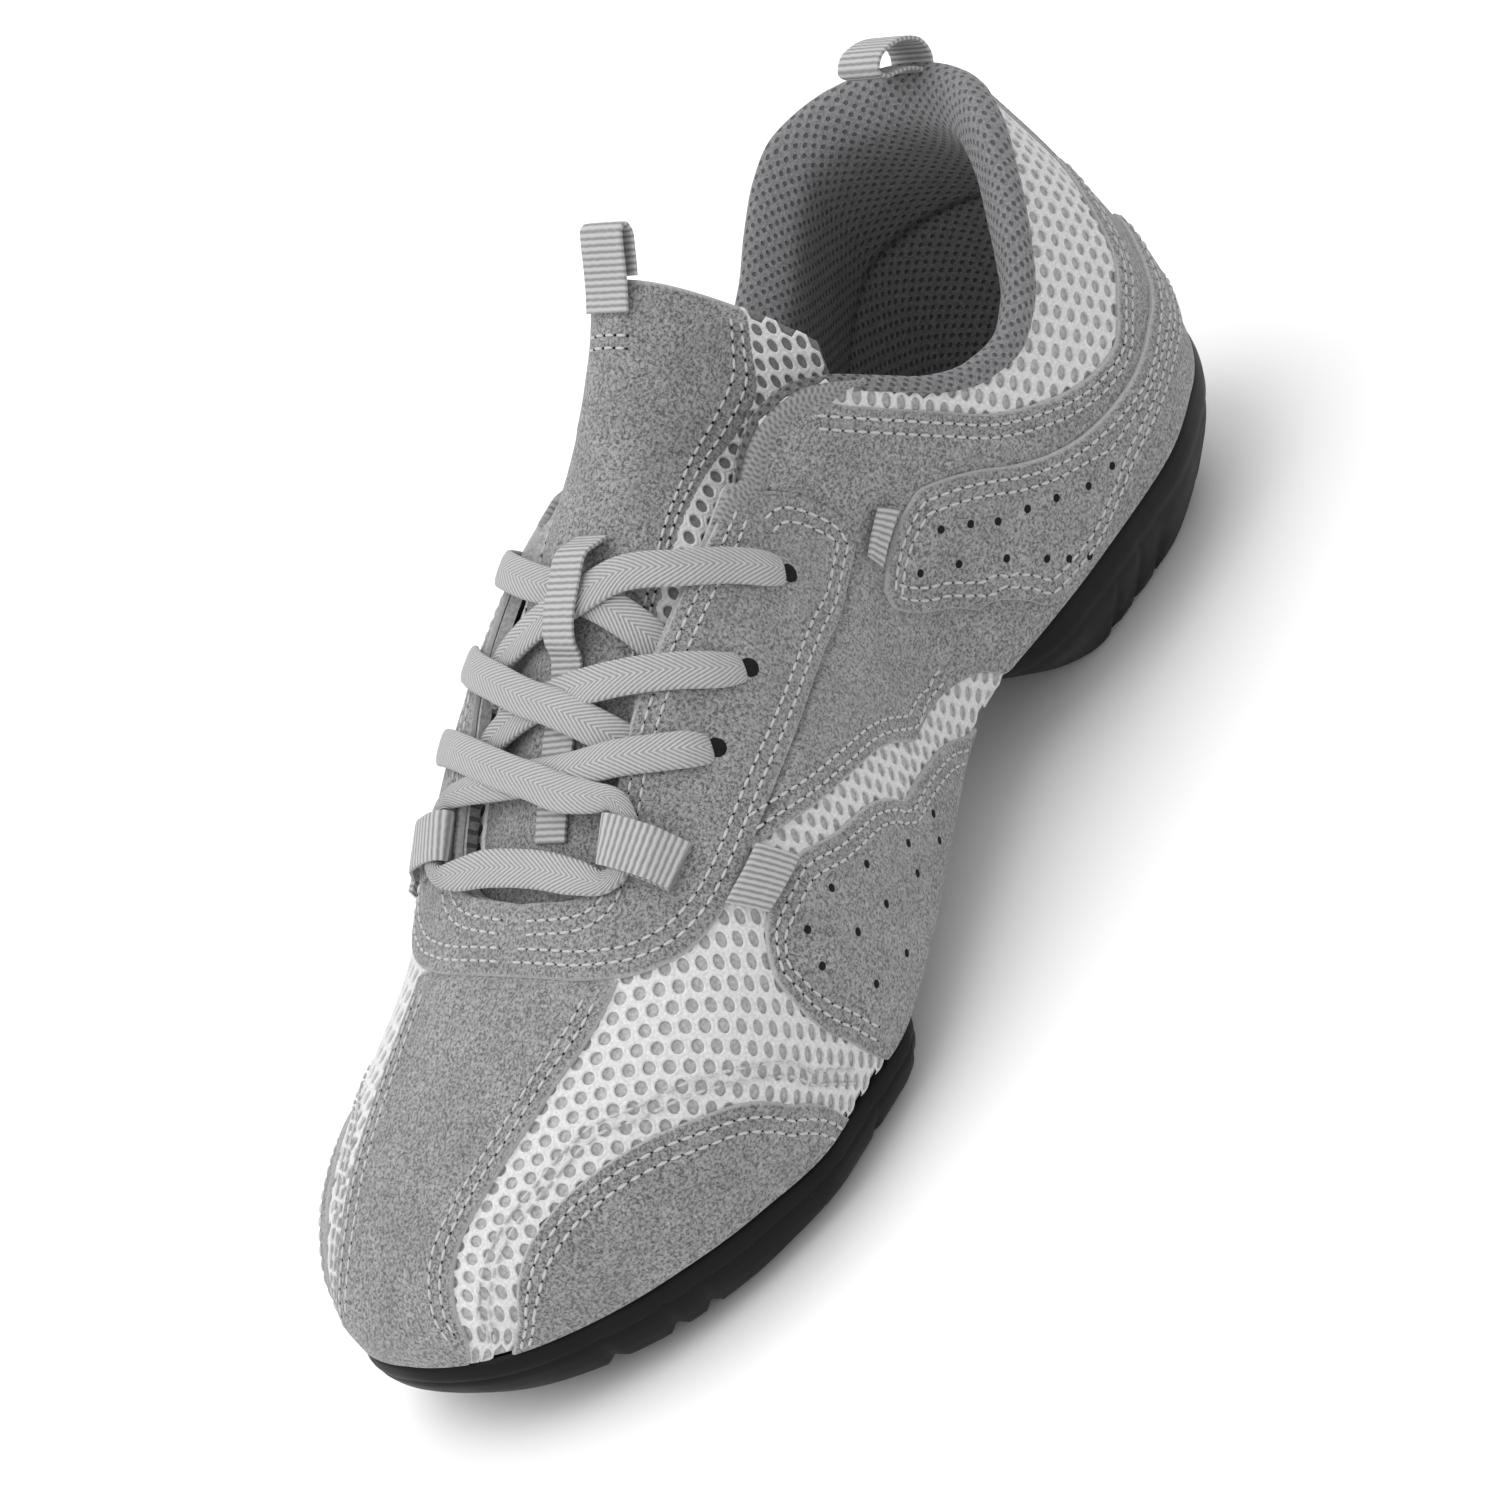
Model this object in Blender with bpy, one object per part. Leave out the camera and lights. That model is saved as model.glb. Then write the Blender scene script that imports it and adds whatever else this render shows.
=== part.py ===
"""Dance sneaker for the left foot: split sole, suede and open-mesh upper, flat laces, webbing loops.

Frame: +X toward the toe, +Y the outer (lateral) side, +Z up. The origin is the middle of the heel
sole's flat contact face on the floor. Metres.
"""
import math

import bmesh
import bpy
import numpy as np

# Driving sizes, in metres
LENGTH = 0.270            # upper, back of the heel to the tip of the toe
BALL_WIDTH = 0.089        # feather line, across the ball
HEEL_WIDTH = 0.067        # feather line, across the heel seat
HEEL_RISE = 0.025         # floor to feather line at the heel
BALL_RISE = 0.012         # floor to feather line at the ball
TOE_RISE = 0.0215         # floor to feather line at the toe tip
RIDGE_HEIGHT = 0.101      # floor to the ridge line at half length
COLLAR_HEIGHT = 0.096     # floor to the topline at the back
THROAT_WIDTH = 0.052      # throat opening at the collar corner
WALL = 0.0022             # upper: suede or mesh with its lining
CLEAR = 0.0003            # gap between touching pieces
OVERLAY = 0.0012          # suede overlay
RAISE = 0.0011            # more room under the upper layer of suede
EDGE_MARGIN = 0.0010      # overlay edges stop this far from the upper's free edge
INSOLE_THICK = 0.0035
PAD_THICK = 0.0065        # padded collar roll at the topline
PAD_DEPTH = 0.034         # padded collar, topline to lower edge
TONGUE_THICK = 0.0055
LACE_WIDTH = 0.0072
LACE_THICK = 0.0018
WEBBING = 0.0010          # webbing of loops and tabs
LOOP_WIDTH = 0.0095
GROOVE_DEPTH = 0.0020
GROOVE_HALF = 0.0016

# Stations as shares of LENGTH
HEEL_REST_AT = 0.145      # middle of the heel's flat pad
COLLAR_CORNER_AT = 0.440  # where the topline turns into the throat
THROAT_TURN_AT = (0.715, 0.729)    # where the throat's edges turn in and where they are nearly shut
THROAT_END_AT = 0.736
PAD_END_AT = 0.425        # the collar padding stops just behind the corner
HEEL_CUT_AT = (0.372, 0.296)       # breast of the heel sole, top and floor
FORE_CUT_AT = (0.622, 0.640)       # rear edge of the forefoot sole, top and floor
HEEL_HOLE_AT = (0.050, 0.310)      # upper left open above the heel sole
FORE_HOLE_AT = (0.665, 0.955)      # upper left open above the forefoot sole
HEEL_FLAT_AT = (0.100, 0.186)
FORE_FLAT_AT = (0.732, 0.805)
HEEL_GROOVES_AT = (0.096, 0.190, 0.220, 0.251)
FORE_GROOVES_AT = (0.662, 0.722, 0.885, 0.909, 0.946)

# The last, one row a station from heel to toe. at: share of LENGTH. centre, lean, bulge: shares of
# BALL_WIDTH. by_heel_w, by_ball_w: shares of HEEL_WIDTH and BALL_WIDTH that add up to the half
# width. by_heel_r, by_ball_r, by_toe_r: shares of the three rises that add up to the feather
# line's height. bulge_up, ridge: shares of RIDGE_HEIGHT.
LAST_COLUMNS = ("at", "centre", "lean", "by_heel_w", "by_ball_w", "by_heel_r", "by_ball_r", "by_toe_r",
                "bulge", "bulge_up", "ridge")
LAST = np.array([
    (0.000, -0.017, -0.070, 0.000, 0.000, 1.08, 0.00, 0.00, 0.006, 0.139, 1.366),
    (0.037, -0.011, -0.070, 0.321, 0.000, 1.06, 0.00, 0.00, 0.017, 0.149, 1.366),
    (0.093, -0.006, -0.070, 0.455, 0.000, 1.02, 0.00, 0.00, 0.022, 0.149, 1.356),
    (0.167, 0.006, -0.070, 0.500, 0.000, 0.98, 0.00, 0.00, 0.022, 0.149, 1.327),
    (0.259, 0.000, -0.060, 0.480, 0.000, 0.96, 0.00, 0.00, 0.022, 0.149, 1.267),
    (0.352, -0.017, -0.050, 0.428, 0.000, 0.92, 0.00, 0.00, 0.018, 0.158, 1.178),
    (0.426, -0.028, -0.040, 0.210, 0.152, 0.65, 0.40, 0.00, 0.018, 0.168, 1.094),
    (0.500, -0.034, -0.030, 0.100, 0.296, 0.40, 0.63, 0.00, 0.029, 0.178, 1.000),
    (0.593, -0.034, -0.020, 0.000, 0.455, 0.10, 0.96, 0.00, 0.034, 0.163, 0.881),
    (0.685, -0.022, -0.006, 0.000, 0.500, 0.00, 1.00, 0.00, 0.028, 0.149, 0.743),
    (0.759, -0.022, 0.006, 0.000, 0.500, 0.00, 1.04, 0.00, 0.022, 0.139, 0.619),
    (0.833, -0.043, 0.000, 0.000, 0.466, 0.00, 0.85, 0.20, 0.020, 0.134, 0.535),
    (0.907, -0.079, 0.000, 0.000, 0.388, 0.00, 0.45, 0.54, 0.016, 0.119, 0.460),
    (0.956, -0.107, 0.000, 0.000, 0.287, 0.00, 0.15, 0.80, 0.011, 0.079, 0.396),
    (0.985, -0.129, 0.000, 0.000, 0.185, 0.00, 0.00, 0.95, 0.007, 0.050, 0.322),
    (1.000, -0.146, 0.000, 0.000, 0.000, 0.00, 0.00, 1.00, 0.006, 0.020, 0.248),
])
SIDE_POWER, TOP_POWER = 2.35, 2.30

# Back seam: up is a share of COLLAR_HEIGHT, forward a share of LENGTH that fades out by BACK_FADE_AT
BACK_COLUMNS = ("up", "forward")
BACK = np.array([(0.00, 0.011), (0.30, 0.004), (0.48, 0.000), (0.71, 0.009), (0.92, 0.024),
                 (1.02, 0.0315), (1.44, 0.033)])
BACK_FADE_AT = 0.26

# Topline: heights as shares of COLLAR_HEIGHT on the lateral and the medial side
TOPLINE_COLUMNS = ("at", "lateral", "medial")
TOPLINE = np.array([
    (0.000, 1.000, 1.000), (0.030, 1.000, 1.000), (0.075, 0.970, 0.985), (0.110, 0.910, 0.945),
    (0.145, 0.840, 0.880), (0.180, 0.765, 0.810), (0.215, 0.730, 0.775), (0.250, 0.750, 0.785),
    (0.280, 0.800, 0.825), (0.310, 0.885, 0.900), (0.335, 0.955, 0.960), (0.360, 0.995, 0.995),
    (0.385, 1.000, 1.000), (0.415, 0.980, 0.980), (0.440, 0.950, 0.950)])

# Throat: half opening as a share of THROAT_WIDTH
THROAT_COLUMNS = ("at", "half")
THROAT = np.array([(0.440, 0.400), (0.490, 0.420), (0.550, 0.410), (0.600, 0.385), (0.650, 0.360),
                   (0.690, 0.350), (0.715, 0.330), (0.727, 0.280), (0.733, 0.180), (0.736, 0.000)])

# Sole sides: down is the share from the feather line to the floor, out a share of the width named
SIDE_COLUMNS = ("down", "out")
HEEL_SIDE = np.array([(0.00, 0.012), (0.15, 0.015), (0.40, -0.022), (0.65, -0.082), (0.88, -0.145),
                      (1.00, -0.185)])
FORE_SIDE = np.array([(0.00, 0.011), (0.22, 0.020), (0.50, 0.010), (0.78, -0.018), (1.00, -0.062)])

# Underside of the soles off the floor: up is a share of the rise at that end
GROUND_COLUMNS = ("at", "up")
HEEL_GROUND = np.array([(0.000, 0.160), (0.045, 0.050), (0.100, 0.000), (0.260, 0.000), (0.300, 0.030)])
FORE_GROUND = np.array([(0.620, 0.100), (0.665, 0.000), (0.830, 0.000), (0.885, 0.040), (0.946, 0.150),
                        (0.985, 0.280), (1.000, 0.380)])

# Panel edges, each row (at, across): at is a share of LENGTH, across runs from 0 on the ridge to 1
# on the lateral feather line and is negative on the medial side
EYESTAY_OUTER = ((0.446, 0.262), (0.425, 0.285), (0.408, 0.325), (0.399, 0.365), (0.406, 0.392),
                 (0.446, 0.396), (0.494, 0.377), (0.552, 0.353), (0.602, 0.330), (0.655, 0.305),
                 (0.702, 0.288), (0.733, 0.258), (0.753, 0.218), (0.770, 0.160), (0.780, 0.080),
                 (0.782, 0.000))
STRIP_EDGE = ((0.788, 0.158), (0.814, 0.155), (0.849, 0.140), (0.883, 0.135), (0.916, 0.130),
              (0.943, 0.135), (0.961, 0.155), (0.975, 0.205), (0.985, 0.320), (0.990, 0.560),
              (0.992, 0.900))
STRIP_EDGE_MEDIAL = ((0.788, -0.165), (0.820, -0.168), (0.851, -0.172), (0.885, -0.175), (0.916, -0.180),
                     (0.943, -0.190), (0.961, -0.215), (0.975, -0.275), (0.985, -0.400),
                     (0.990, -0.620), (0.992, -0.900))
TOE_SIDE_TOP = ((0.744, 0.880), (0.752, 0.700), (0.772, 0.520), (0.799, 0.440), (0.826, 0.395),
                (0.854, 0.345), (0.888, 0.305), (0.913, 0.290), (0.935, 0.300), (0.955, 0.355),
                (0.967, 0.450), (0.975, 0.640), (0.979, 0.880))
TOE_SIDE_LOW = ((0.744, 0.900), (0.780, 0.900), (0.820, 0.900), (0.860, 0.900), (0.900, 0.900),
                (0.930, 0.900), (0.950, 0.900), (0.965, 0.900), (0.979, 0.900))
ARCH_TOP = ((0.415, 0.950), (0.450, 0.700), (0.494, 0.568), (0.552, 0.468), (0.606, 0.415),
            (0.650, 0.362), (0.690, 0.347), (0.710, 0.363), (0.723, 0.400), (0.724, 0.450),
            (0.714, 0.520), (0.702, 0.700), (0.693, 0.840))
ARCH_LOW = ((0.424, 0.972), (0.460, 0.972), (0.520, 0.972), (0.580, 0.972), (0.612, 0.950),
            (0.628, 0.908), (0.660, 0.905), (0.690, 0.905))
QUARTER_LOW = ((0.655, 0.312), (0.602, 0.382), (0.556, 0.428), (0.510, 0.470), (0.460, 0.530),
               (0.417, 0.610), (0.385, 0.720), (0.362, 0.900), (0.300, 0.905), (0.200, 0.905),
               (0.100, 0.905), (0.022, 0.905))
QUARTER_TOP = ((0.648, 0.316), (0.602, 0.340), (0.552, 0.363), (0.494, 0.387), (0.446, 0.407),
               (0.404, 0.404), (0.391, 0.372), (0.392, 0.330), (0.372, 0.296), (0.357, 0.292),
               (0.338, 0.322), (0.316, 0.358), (0.291, 0.393), (0.264, 0.425), (0.237, 0.445),
               (0.202, 0.463), (0.171, 0.472), (0.143, 0.475), (0.115, 0.468), (0.084, 0.458),
               (0.060, 0.440), (0.040, 0.425), (0.022, 0.415))
REAR_TOP = ((0.413, 0.432), (0.388, 0.420), (0.364, 0.413), (0.344, 0.411), (0.331, 0.418),
            (0.302, 0.438), (0.274, 0.460), (0.247, 0.475), (0.217, 0.485), (0.183, 0.490),
            (0.140, 0.492), (0.095, 0.490), (0.050, 0.480))
REAR_LOW = ((0.417, 0.446), (0.410, 0.458), (0.398, 0.472), (0.375, 0.489), (0.353, 0.515),
            (0.331, 0.625), (0.310, 0.780), (0.270, 0.800), (0.224, 0.730), (0.192, 0.665),
            (0.150, 0.640), (0.100, 0.630), (0.050, 0.625))


EYESTAY_INNER_AT = (0.4455, 0.447, 0.452, 0.460, 0.470, 0.490, 0.525, 0.570, 0.612, 0.655, 0.692,
                    0.714, 0.725, 0.732, 0.735, 0.736)
STRIP_MIDDLE = ((0.788, 0.000), (0.840, 0.000), (0.880, 0.000), (0.920, 0.000), (0.955, 0.000),
                (0.978, 0.000), (0.992, 0.000), (1.000, 0.150), (1.000, 0.500), (1.000, 0.905))
BACKSTAY_AT = (0.013, 0.020)       # half width of the backstay at its top and foot, as a station
FRONT_TAB = ((0.658, 0.305), (0.702, 0.285), (0.647, 0.363), (0.691, 0.343))
REAR_TAB = ((0.375, 0.388), (0.408, 0.400), (0.364, 0.405), (0.404, 0.417))

# Padded collar: thickness along the topline, and its profile as (share of PAD_DEPTH below the
# topline, share of PAD_THICK)
PAD_COLUMNS = ("at", "thick")
PAD = np.array([(0.00, 1.00), (0.17, 1.00), (0.24, 0.70), (0.30, 0.38), (0.44, 0.35)])
PAD_PROFILE = ((0.00, 0.35), (-0.04, 0.80), (0.06, 1.00), (0.30, 1.00), (0.65, 0.70), (1.00, 0.30))

# Tongue along its middle: half width as a share of THROAT_WIDTH, lift off the last as a share of
# TONGUE_THICK at the middle and at the edge, sweep back of the edges as a share of LENGTH
TONGUE_COLUMNS = ("at", "half", "lift", "edge_lift", "sweep")
TONGUE = np.array([
    (0.350, 0.490, 1.30, -0.80, 0.036), (0.364, 0.535, 1.05, -1.20, 0.036),
    (0.384, 0.575, 0.75, -1.15, 0.034), (0.412, 0.555, 0.50, -1.15, 0.030),
    (0.442, 0.520, 0.25, -1.00, 0.014), (0.500, 0.500, -0.05, -0.56, 0.000),
    (0.580, 0.500, -0.20, -0.56, 0.000), (0.660, 0.480, -0.30, -0.56, 0.000),
    (0.725, 0.440, -0.56, -0.56, 0.000)])
TUCK_INSET = 0.0015                # the tongue is fully under the upper this far inside its free edge
TUCK_LEAST = 0.001
TUCK_POWER = 1.3                   # above 1 keeps the tongue high in the middle of the throat
EDGE_THINNING = 0.45               # share of the thickness that the tongue loses at its edges

# Laces, each row (at, across, lift off the last in metres, share of LACE_WIDTH)
ACROSS_LENGTH = 0.125              # length over the skin that one unit of across stands for
LACE_G_J = ((0.621, 0.222, 0.0034, 1.0), (0.634, 0.170, 0.0034, 1.0), (0.645, 0.115, 0.0034, 1.0),
            (0.657, 0.050, 0.0018, 1.0), (0.663, 0.000, 0.0016, 1.0), (0.668, -0.050, 0.0022, 0.9),
            (0.670, -0.095, 0.0036, 0.7), (0.672, -0.124, 0.0042, 0.5), (0.681, -0.141, 0.0042, 0.5),
            (0.695, -0.145, 0.0042, 0.5), (0.709, -0.141, 0.0042, 0.5), (0.718, -0.124, 0.0042, 0.5),
            (0.719, -0.095, 0.0038, 0.7), (0.717, -0.040, 0.0032, 1.0), (0.717, 0.010, 0.0034, 1.0))
LACE_J_H = ((0.717, -0.015, 0.0034, 1.0), (0.717, 0.040, 0.0032, 1.0), (0.719, 0.095, 0.0038, 0.7),
            (0.718, 0.124, 0.0042, 0.5), (0.709, 0.141, 0.0042, 0.5), (0.695, 0.145, 0.0042, 0.5),
            (0.681, 0.141, 0.0042, 0.5), (0.672, 0.124, 0.0042, 0.5), (0.673, 0.095, 0.0036, 0.7),
            (0.673, 0.050, 0.0032, 1.0), (0.666, 0.000, 0.0032, 1.0), (0.655, -0.060, 0.0034, 1.0),
            (0.643, -0.120, 0.0034, 1.0), (0.633, -0.170, 0.0034, 1.0), (0.622, -0.222, 0.0034, 1.0))
LACE_F = ((0.640, -0.090, 0.0000, 1.0), (0.630, -0.045, 0.0008, 1.0), (0.614, 0.018, 0.0013, 1.0),
          (0.602, 0.088, 0.0030, 1.0), (0.583, 0.175, 0.0034, 1.0), (0.558, 0.255, 0.0034, 1.0))
LACE_E = ((0.629, 0.090, 0.0004, 1.0), (0.628, 0.060, 0.0014, 1.0), (0.619, 0.000, 0.0028, 1.0),
          (0.606, -0.060, 0.0032, 1.0), (0.594, -0.110, 0.0034, 1.0), (0.577, -0.180, 0.0034, 1.0),
          (0.558, -0.255, 0.0034, 1.0))
LACE_A = ((0.596, -0.105, 0.0000, 1.0), (0.578, -0.050, 0.0012, 1.0), (0.556, 0.025, 0.0027, 1.0),
          (0.537, 0.080, 0.0028, 1.0), (0.517, 0.170, 0.0032, 1.0), (0.497, 0.235, 0.0034, 1.0),
          (0.476, 0.298, 0.0034, 1.0))
LACE_B = ((0.561, 0.115, 0.0002, 1.0), (0.556, 0.070, 0.0008, 1.0), (0.549, 0.015, 0.0012, 1.0),
          (0.541, -0.050, 0.0018, 1.0), (0.525, -0.130, 0.0032, 1.0), (0.502, -0.220, 0.0034, 1.0),
          (0.476, -0.298, 0.0034, 1.0))

# Webbing loops: paths of (across, lift) for the lace loops and (x, z) in metres for the others
LACE_LOOP_AT = 0.695
LACE_LOOP_WIDTH = 0.0084
LACE_LOOP_PATH = ((0.218, 0.0026), (0.190, 0.0026), (0.150, 0.0026), (0.130, 0.0026), (0.117, 0.0030),
                  (0.111, 0.0042), (0.117, 0.0056), (0.130, 0.0061), (0.155, 0.0062), (0.180, 0.0060),
                  (0.200, 0.0047), (0.216, 0.0038))
HEEL_LOOP_WIDTH = 0.0105
HEEL_LOOP_PATH = ((0.0004, 0.0005), (-0.0014, 0.0034), (-0.0010, 0.0070), (0.0018, 0.0100), (0.0060, 0.0120),
                  (0.0100, 0.0124), (0.0122, 0.0108), (0.0112, 0.0088), (0.0080, 0.0070), (0.0046, 0.0048),
                  (0.0020, 0.0020))
TONGUE_LOOP_AT = 0.372
TONGUE_LOOP_PATH = ((0.0000, 0.0000), (-0.0028, 0.0030), (-0.0060, 0.0070), (-0.0086, 0.0104),
                    (-0.0100, 0.0118), (-0.0114, 0.0116), (-0.0116, 0.0100), (-0.0096, 0.0068),
                    (-0.0066, 0.0030))
KEEPER_WIDTH = 0.0076
KEEPER_Y = 0.0035
KEEPER_ROWS = ((0.512, 0.0000), (0.519, 0.0022), (0.527, 0.0046), (0.548, 0.0050), (0.570, 0.0046),
               (0.582, 0.0032), (0.590, 0.0006), (0.596, 0.0000), (0.650, 0.0000), (0.700, 0.0000))


def smooth(xs, ys, x):
    """Read a table as a smooth curve that never overshoots its rows."""
    xs, ys = np.asarray(xs, float), np.asarray(ys, float)
    x = np.clip(x, xs[0], xs[-1])
    step = np.diff(xs)
    rise = np.diff(ys) / step
    slope = np.zeros_like(ys)
    same = rise[:-1] * rise[1:] > 0
    before, after = 2 * step[1:] + step[:-1], step[1:] + 2 * step[:-1]
    first, second = np.where(same, rise[:-1], 1.0), np.where(same, rise[1:], 1.0)
    slope[1:-1] = np.where(same, (before + after) / (before / first + after / second), 0.0)
    slope[0], slope[-1] = rise[0], rise[-1]
    k = np.clip(np.searchsorted(xs, x, side="right") - 1, 0, len(xs) - 2)
    t = (x - xs[k]) / step[k]
    return (ys[k] * (1 + 2 * t) * (1 - t) ** 2 + slope[k] * step[k] * t * (1 - t) ** 2
            + ys[k + 1] * t * t * (3 - 2 * t) + slope[k + 1] * step[k] * t * t * (t - 1))


def read(table, columns, name, at):
    """One named column of a table, read at a station or height."""
    return smooth(table[:, 0], table[:, columns.index(name)], at)


def bow(at):
    """Spread stations so that the rounded heel and toe close like a circle."""
    return np.arccos(1 - 2 * np.clip(at, 0, 1)) / math.pi


def unbow(q):
    return (1 - np.cos(math.pi * np.asarray(q, float))) / 2


def last(name, at):
    return smooth(bow(LAST[:, 0]), LAST[:, LAST_COLUMNS.index(name)], bow(at))


def half_width(at):
    return HEEL_WIDTH * last("by_heel_w", at) + BALL_WIDTH * last("by_ball_w", at)


def feather(at):
    """Height of the feather line, where the upper meets its sole."""
    return (HEEL_RISE * last("by_heel_r", at) + BALL_RISE * last("by_ball_r", at)
            + TOE_RISE * last("by_toe_r", at))


def station_x(at):
    return LENGTH * (np.asarray(at, float) - HEEL_REST_AT)


def back_shift(at, z):
    forward = LENGTH * read(BACK, BACK_COLUMNS, "forward", z / COLLAR_HEIGHT)
    return forward * np.clip(1 - at / BACK_FADE_AT, 0, 1) ** 1.5


def skin(at, across):
    """A point of the upper's outside: across is 0 on the ridge, 1 lateral, -1 medial feather."""
    at, across = np.broadcast_arrays(np.asarray(at, float), np.asarray(across, float))
    side = np.where(across < 0, -1.0, 1.0)
    down = np.clip(np.abs(across), 0, 1) * 2
    half, foot = half_width(at), feather(at)
    bulge = BALL_WIDTH * last("bulge", at) * np.clip(half / (BALL_WIDTH * 0.22), 0, 1)
    lift, top = RIDGE_HEIGHT * last("bulge_up", at), RIDGE_HEIGHT * last("ridge", at)
    turn = np.clip(1 - down, 0, 1) * math.pi / 2
    y_high = (half + bulge) * np.cos(turn) ** (2 / SIDE_POWER)
    z_high = foot + lift + (top - foot - lift) * np.sin(turn) ** (2 / TOP_POWER)
    roll = np.clip(2 - down, 0, 1) * math.pi / 2
    y_low = half + bulge * np.sin(roll)
    z_low = foot + lift * (1 - np.cos(roll))
    y, z = np.where(down > 1, y_low, y_high), np.where(down > 1, z_low, z_high)
    middle = BALL_WIDTH * (last("centre", at) + last("lean", at) * (z - foot) / (top - foot))
    return np.stack([station_x(at) + back_shift(at, z), middle + side * y, z], -1)


def outward(at, across):
    """Unit normal of the skin."""
    q, across = np.broadcast_arrays(bow(at), np.asarray(across, float))
    dq, da = 0.004, 0.006
    tip = (q < dq) | (q > 1 - dq)
    across = np.where(tip & (np.abs(across) < 2 * da), 2 * da, across)
    along = (skin(unbow(np.minimum(q + dq, 1)), across) - skin(unbow(np.maximum(q - dq, 0)), across))
    over = (skin(unbow(q), np.minimum(across + da, 1)) - skin(unbow(q), np.maximum(across - da, -1)))
    normal = np.cross(along, over)
    return normal / np.linalg.norm(normal, axis=-1, keepdims=True)


def on_skin(at, across, lift):
    """A point lifted off the skin; near the feather line the lift turns level."""
    normal = outward(at, across)
    normal[..., 2] = np.maximum(normal[..., 2], -0.25)
    normal /= np.linalg.norm(normal, axis=-1, keepdims=True)
    return skin(at, across) + normal * np.asarray(lift, float)[..., None]


def across_at_height(at, z):
    """Where the skin reaches a height, above the bulge."""
    low = feather(at) + RIDGE_HEIGHT * last("bulge_up", at)
    rise = np.clip((z - low) / (RIDGE_HEIGHT * last("ridge", at) - low), 0, 1)
    return (1 - np.arcsin(rise ** (TOP_POWER / 2)) / (math.pi / 2)) / 2


def across_at_half(at, half):
    """Where the skin is a given distance from its middle, above the bulge."""
    wide = half_width(at) + BALL_WIDTH * last("bulge", at)
    share = np.clip(half / wide, 0, 1)
    return (1 - np.arccos(share ** (SIDE_POWER / 2)) / (math.pi / 2)) / 2


def rim(at, side):
    """Across value of the upper's free edge: topline, then throat, then closed on the ridge."""
    if at >= THROAT_END_AT:
        return 0.0
    if at > COLLAR_CORNER_AT:
        return float(across_at_half(at, THROAT_WIDTH * read(THROAT, THROAT_COLUMNS, "half", at)))
    height = COLLAR_HEIGHT * read(TOPLINE, TOPLINE_COLUMNS, "lateral" if side > 0 else "medial", at)
    return float(across_at_height(at, height))


def trace(rows, count):
    """Even steps along an edge given by (at, across) rows."""
    spread, across = bow([row[0] for row in rows]), np.array([row[1] for row in rows])
    leg = np.hypot(np.diff(spread), np.diff(across) * 0.3)
    run = np.concatenate([[0], np.cumsum(leg)]) / leg.sum()
    t = np.linspace(0, 1, count)
    return np.stack([unbow(smooth(run, spread, t)), smooth(run, across, t)], -1)


def mirrored(rows):
    return tuple((at, -across) for at, across in rows)


# Blender helpers

def finish(name):
    """Suede, mesh and the rest: base colour, roughness and metallic value of each piece."""
    looks = {
        "sole": ((0.012, 0.012, 0.013), 0.42), "suede": ((0.31, 0.31, 0.31), 0.95),
        "mesh": ((0.72, 0.72, 0.72), 0.85), "lining": ((0.085, 0.085, 0.088), 0.95),
        "webbing": ((0.45, 0.45, 0.45), 0.80), "lace": ((0.47, 0.47, 0.47), 0.80),
    }
    return looks[name]


def build(name, verts, faces, look):
    """One closed solid as an object with its own material."""
    mesh = bpy.data.meshes.new(name)
    work = bmesh.new()
    points = [work.verts.new(v) for v in verts]
    for face in faces:
        ring = [points[i] for n, i in enumerate(face) if i not in face[:n]]
        if len(ring) > 2:
            work.faces.new(ring)
    bmesh.ops.remove_doubles(work, verts=work.verts, dist=1e-6)
    bmesh.ops.triangulate(work, faces=work.faces)
    bmesh.ops.recalc_face_normals(work, faces=work.faces)
    work.to_mesh(mesh)
    work.free()
    mesh.shade_smooth()
    mesh.set_sharp_from_angle(angle=math.radians(40))
    piece = bpy.data.objects.new(name, mesh)
    material = bpy.data.materials.new(name)
    material.use_nodes = True
    shader = material.node_tree.nodes["Principled BSDF"]
    colour, rough = finish(look)
    shader.inputs["Base Color"].default_value = (*colour, 1)
    shader.inputs["Roughness"].default_value = rough
    mesh.materials.append(material)
    bpy.context.scene.collection.objects.link(piece)
    return piece


class Sheet:
    """A surface of shared points, each with the step to its inner face, thickened into a solid."""

    def __init__(self):
        self.index, self.outer, self.step, self.faces = {}, [], [], []

    def point(self, key, place, step):
        if key not in self.index:
            self.index[key] = len(self.outer)
            self.outer.append(np.asarray(place, float))
            self.step.append(np.asarray(step, float))
        return self.index[key]

    def face(self, *keys):
        ring = []
        for key in keys:
            if self.index[key] not in ring:
                ring.append(self.index[key])
        if len(ring) > 2:
            self.faces.append(ring)

    def solid(self, name, look):
        count = len(self.outer)
        verts = self.outer + [p + s for p, s in zip(self.outer, self.step)]
        edges = {}
        for ring in self.faces:
            for a, b in zip(ring, ring[1:] + ring[:1]):
                edges[(a, b)] = True
        sides = [(b, a, a + count, b + count) for a, b in edges if (b, a) not in edges]
        inner = [[i + count for i in reversed(ring)] for ring in self.faces]
        return build(name, verts, self.faces + inner + sides, look)


def between(at, across, first, second):
    """Skin points halfway between two sets of grid points; the tips take their neighbour's side."""
    side = np.where((at > 1e-6) & (at < 1 - 1e-6), np.sign(across), 0.0)
    turn = np.where(side[first] + side[second] < 0, -1.0, 1.0)
    return skin((at[first] + at[second]) / 2, turn * (np.abs(across[first]) + np.abs(across[second])) / 2)


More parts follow.
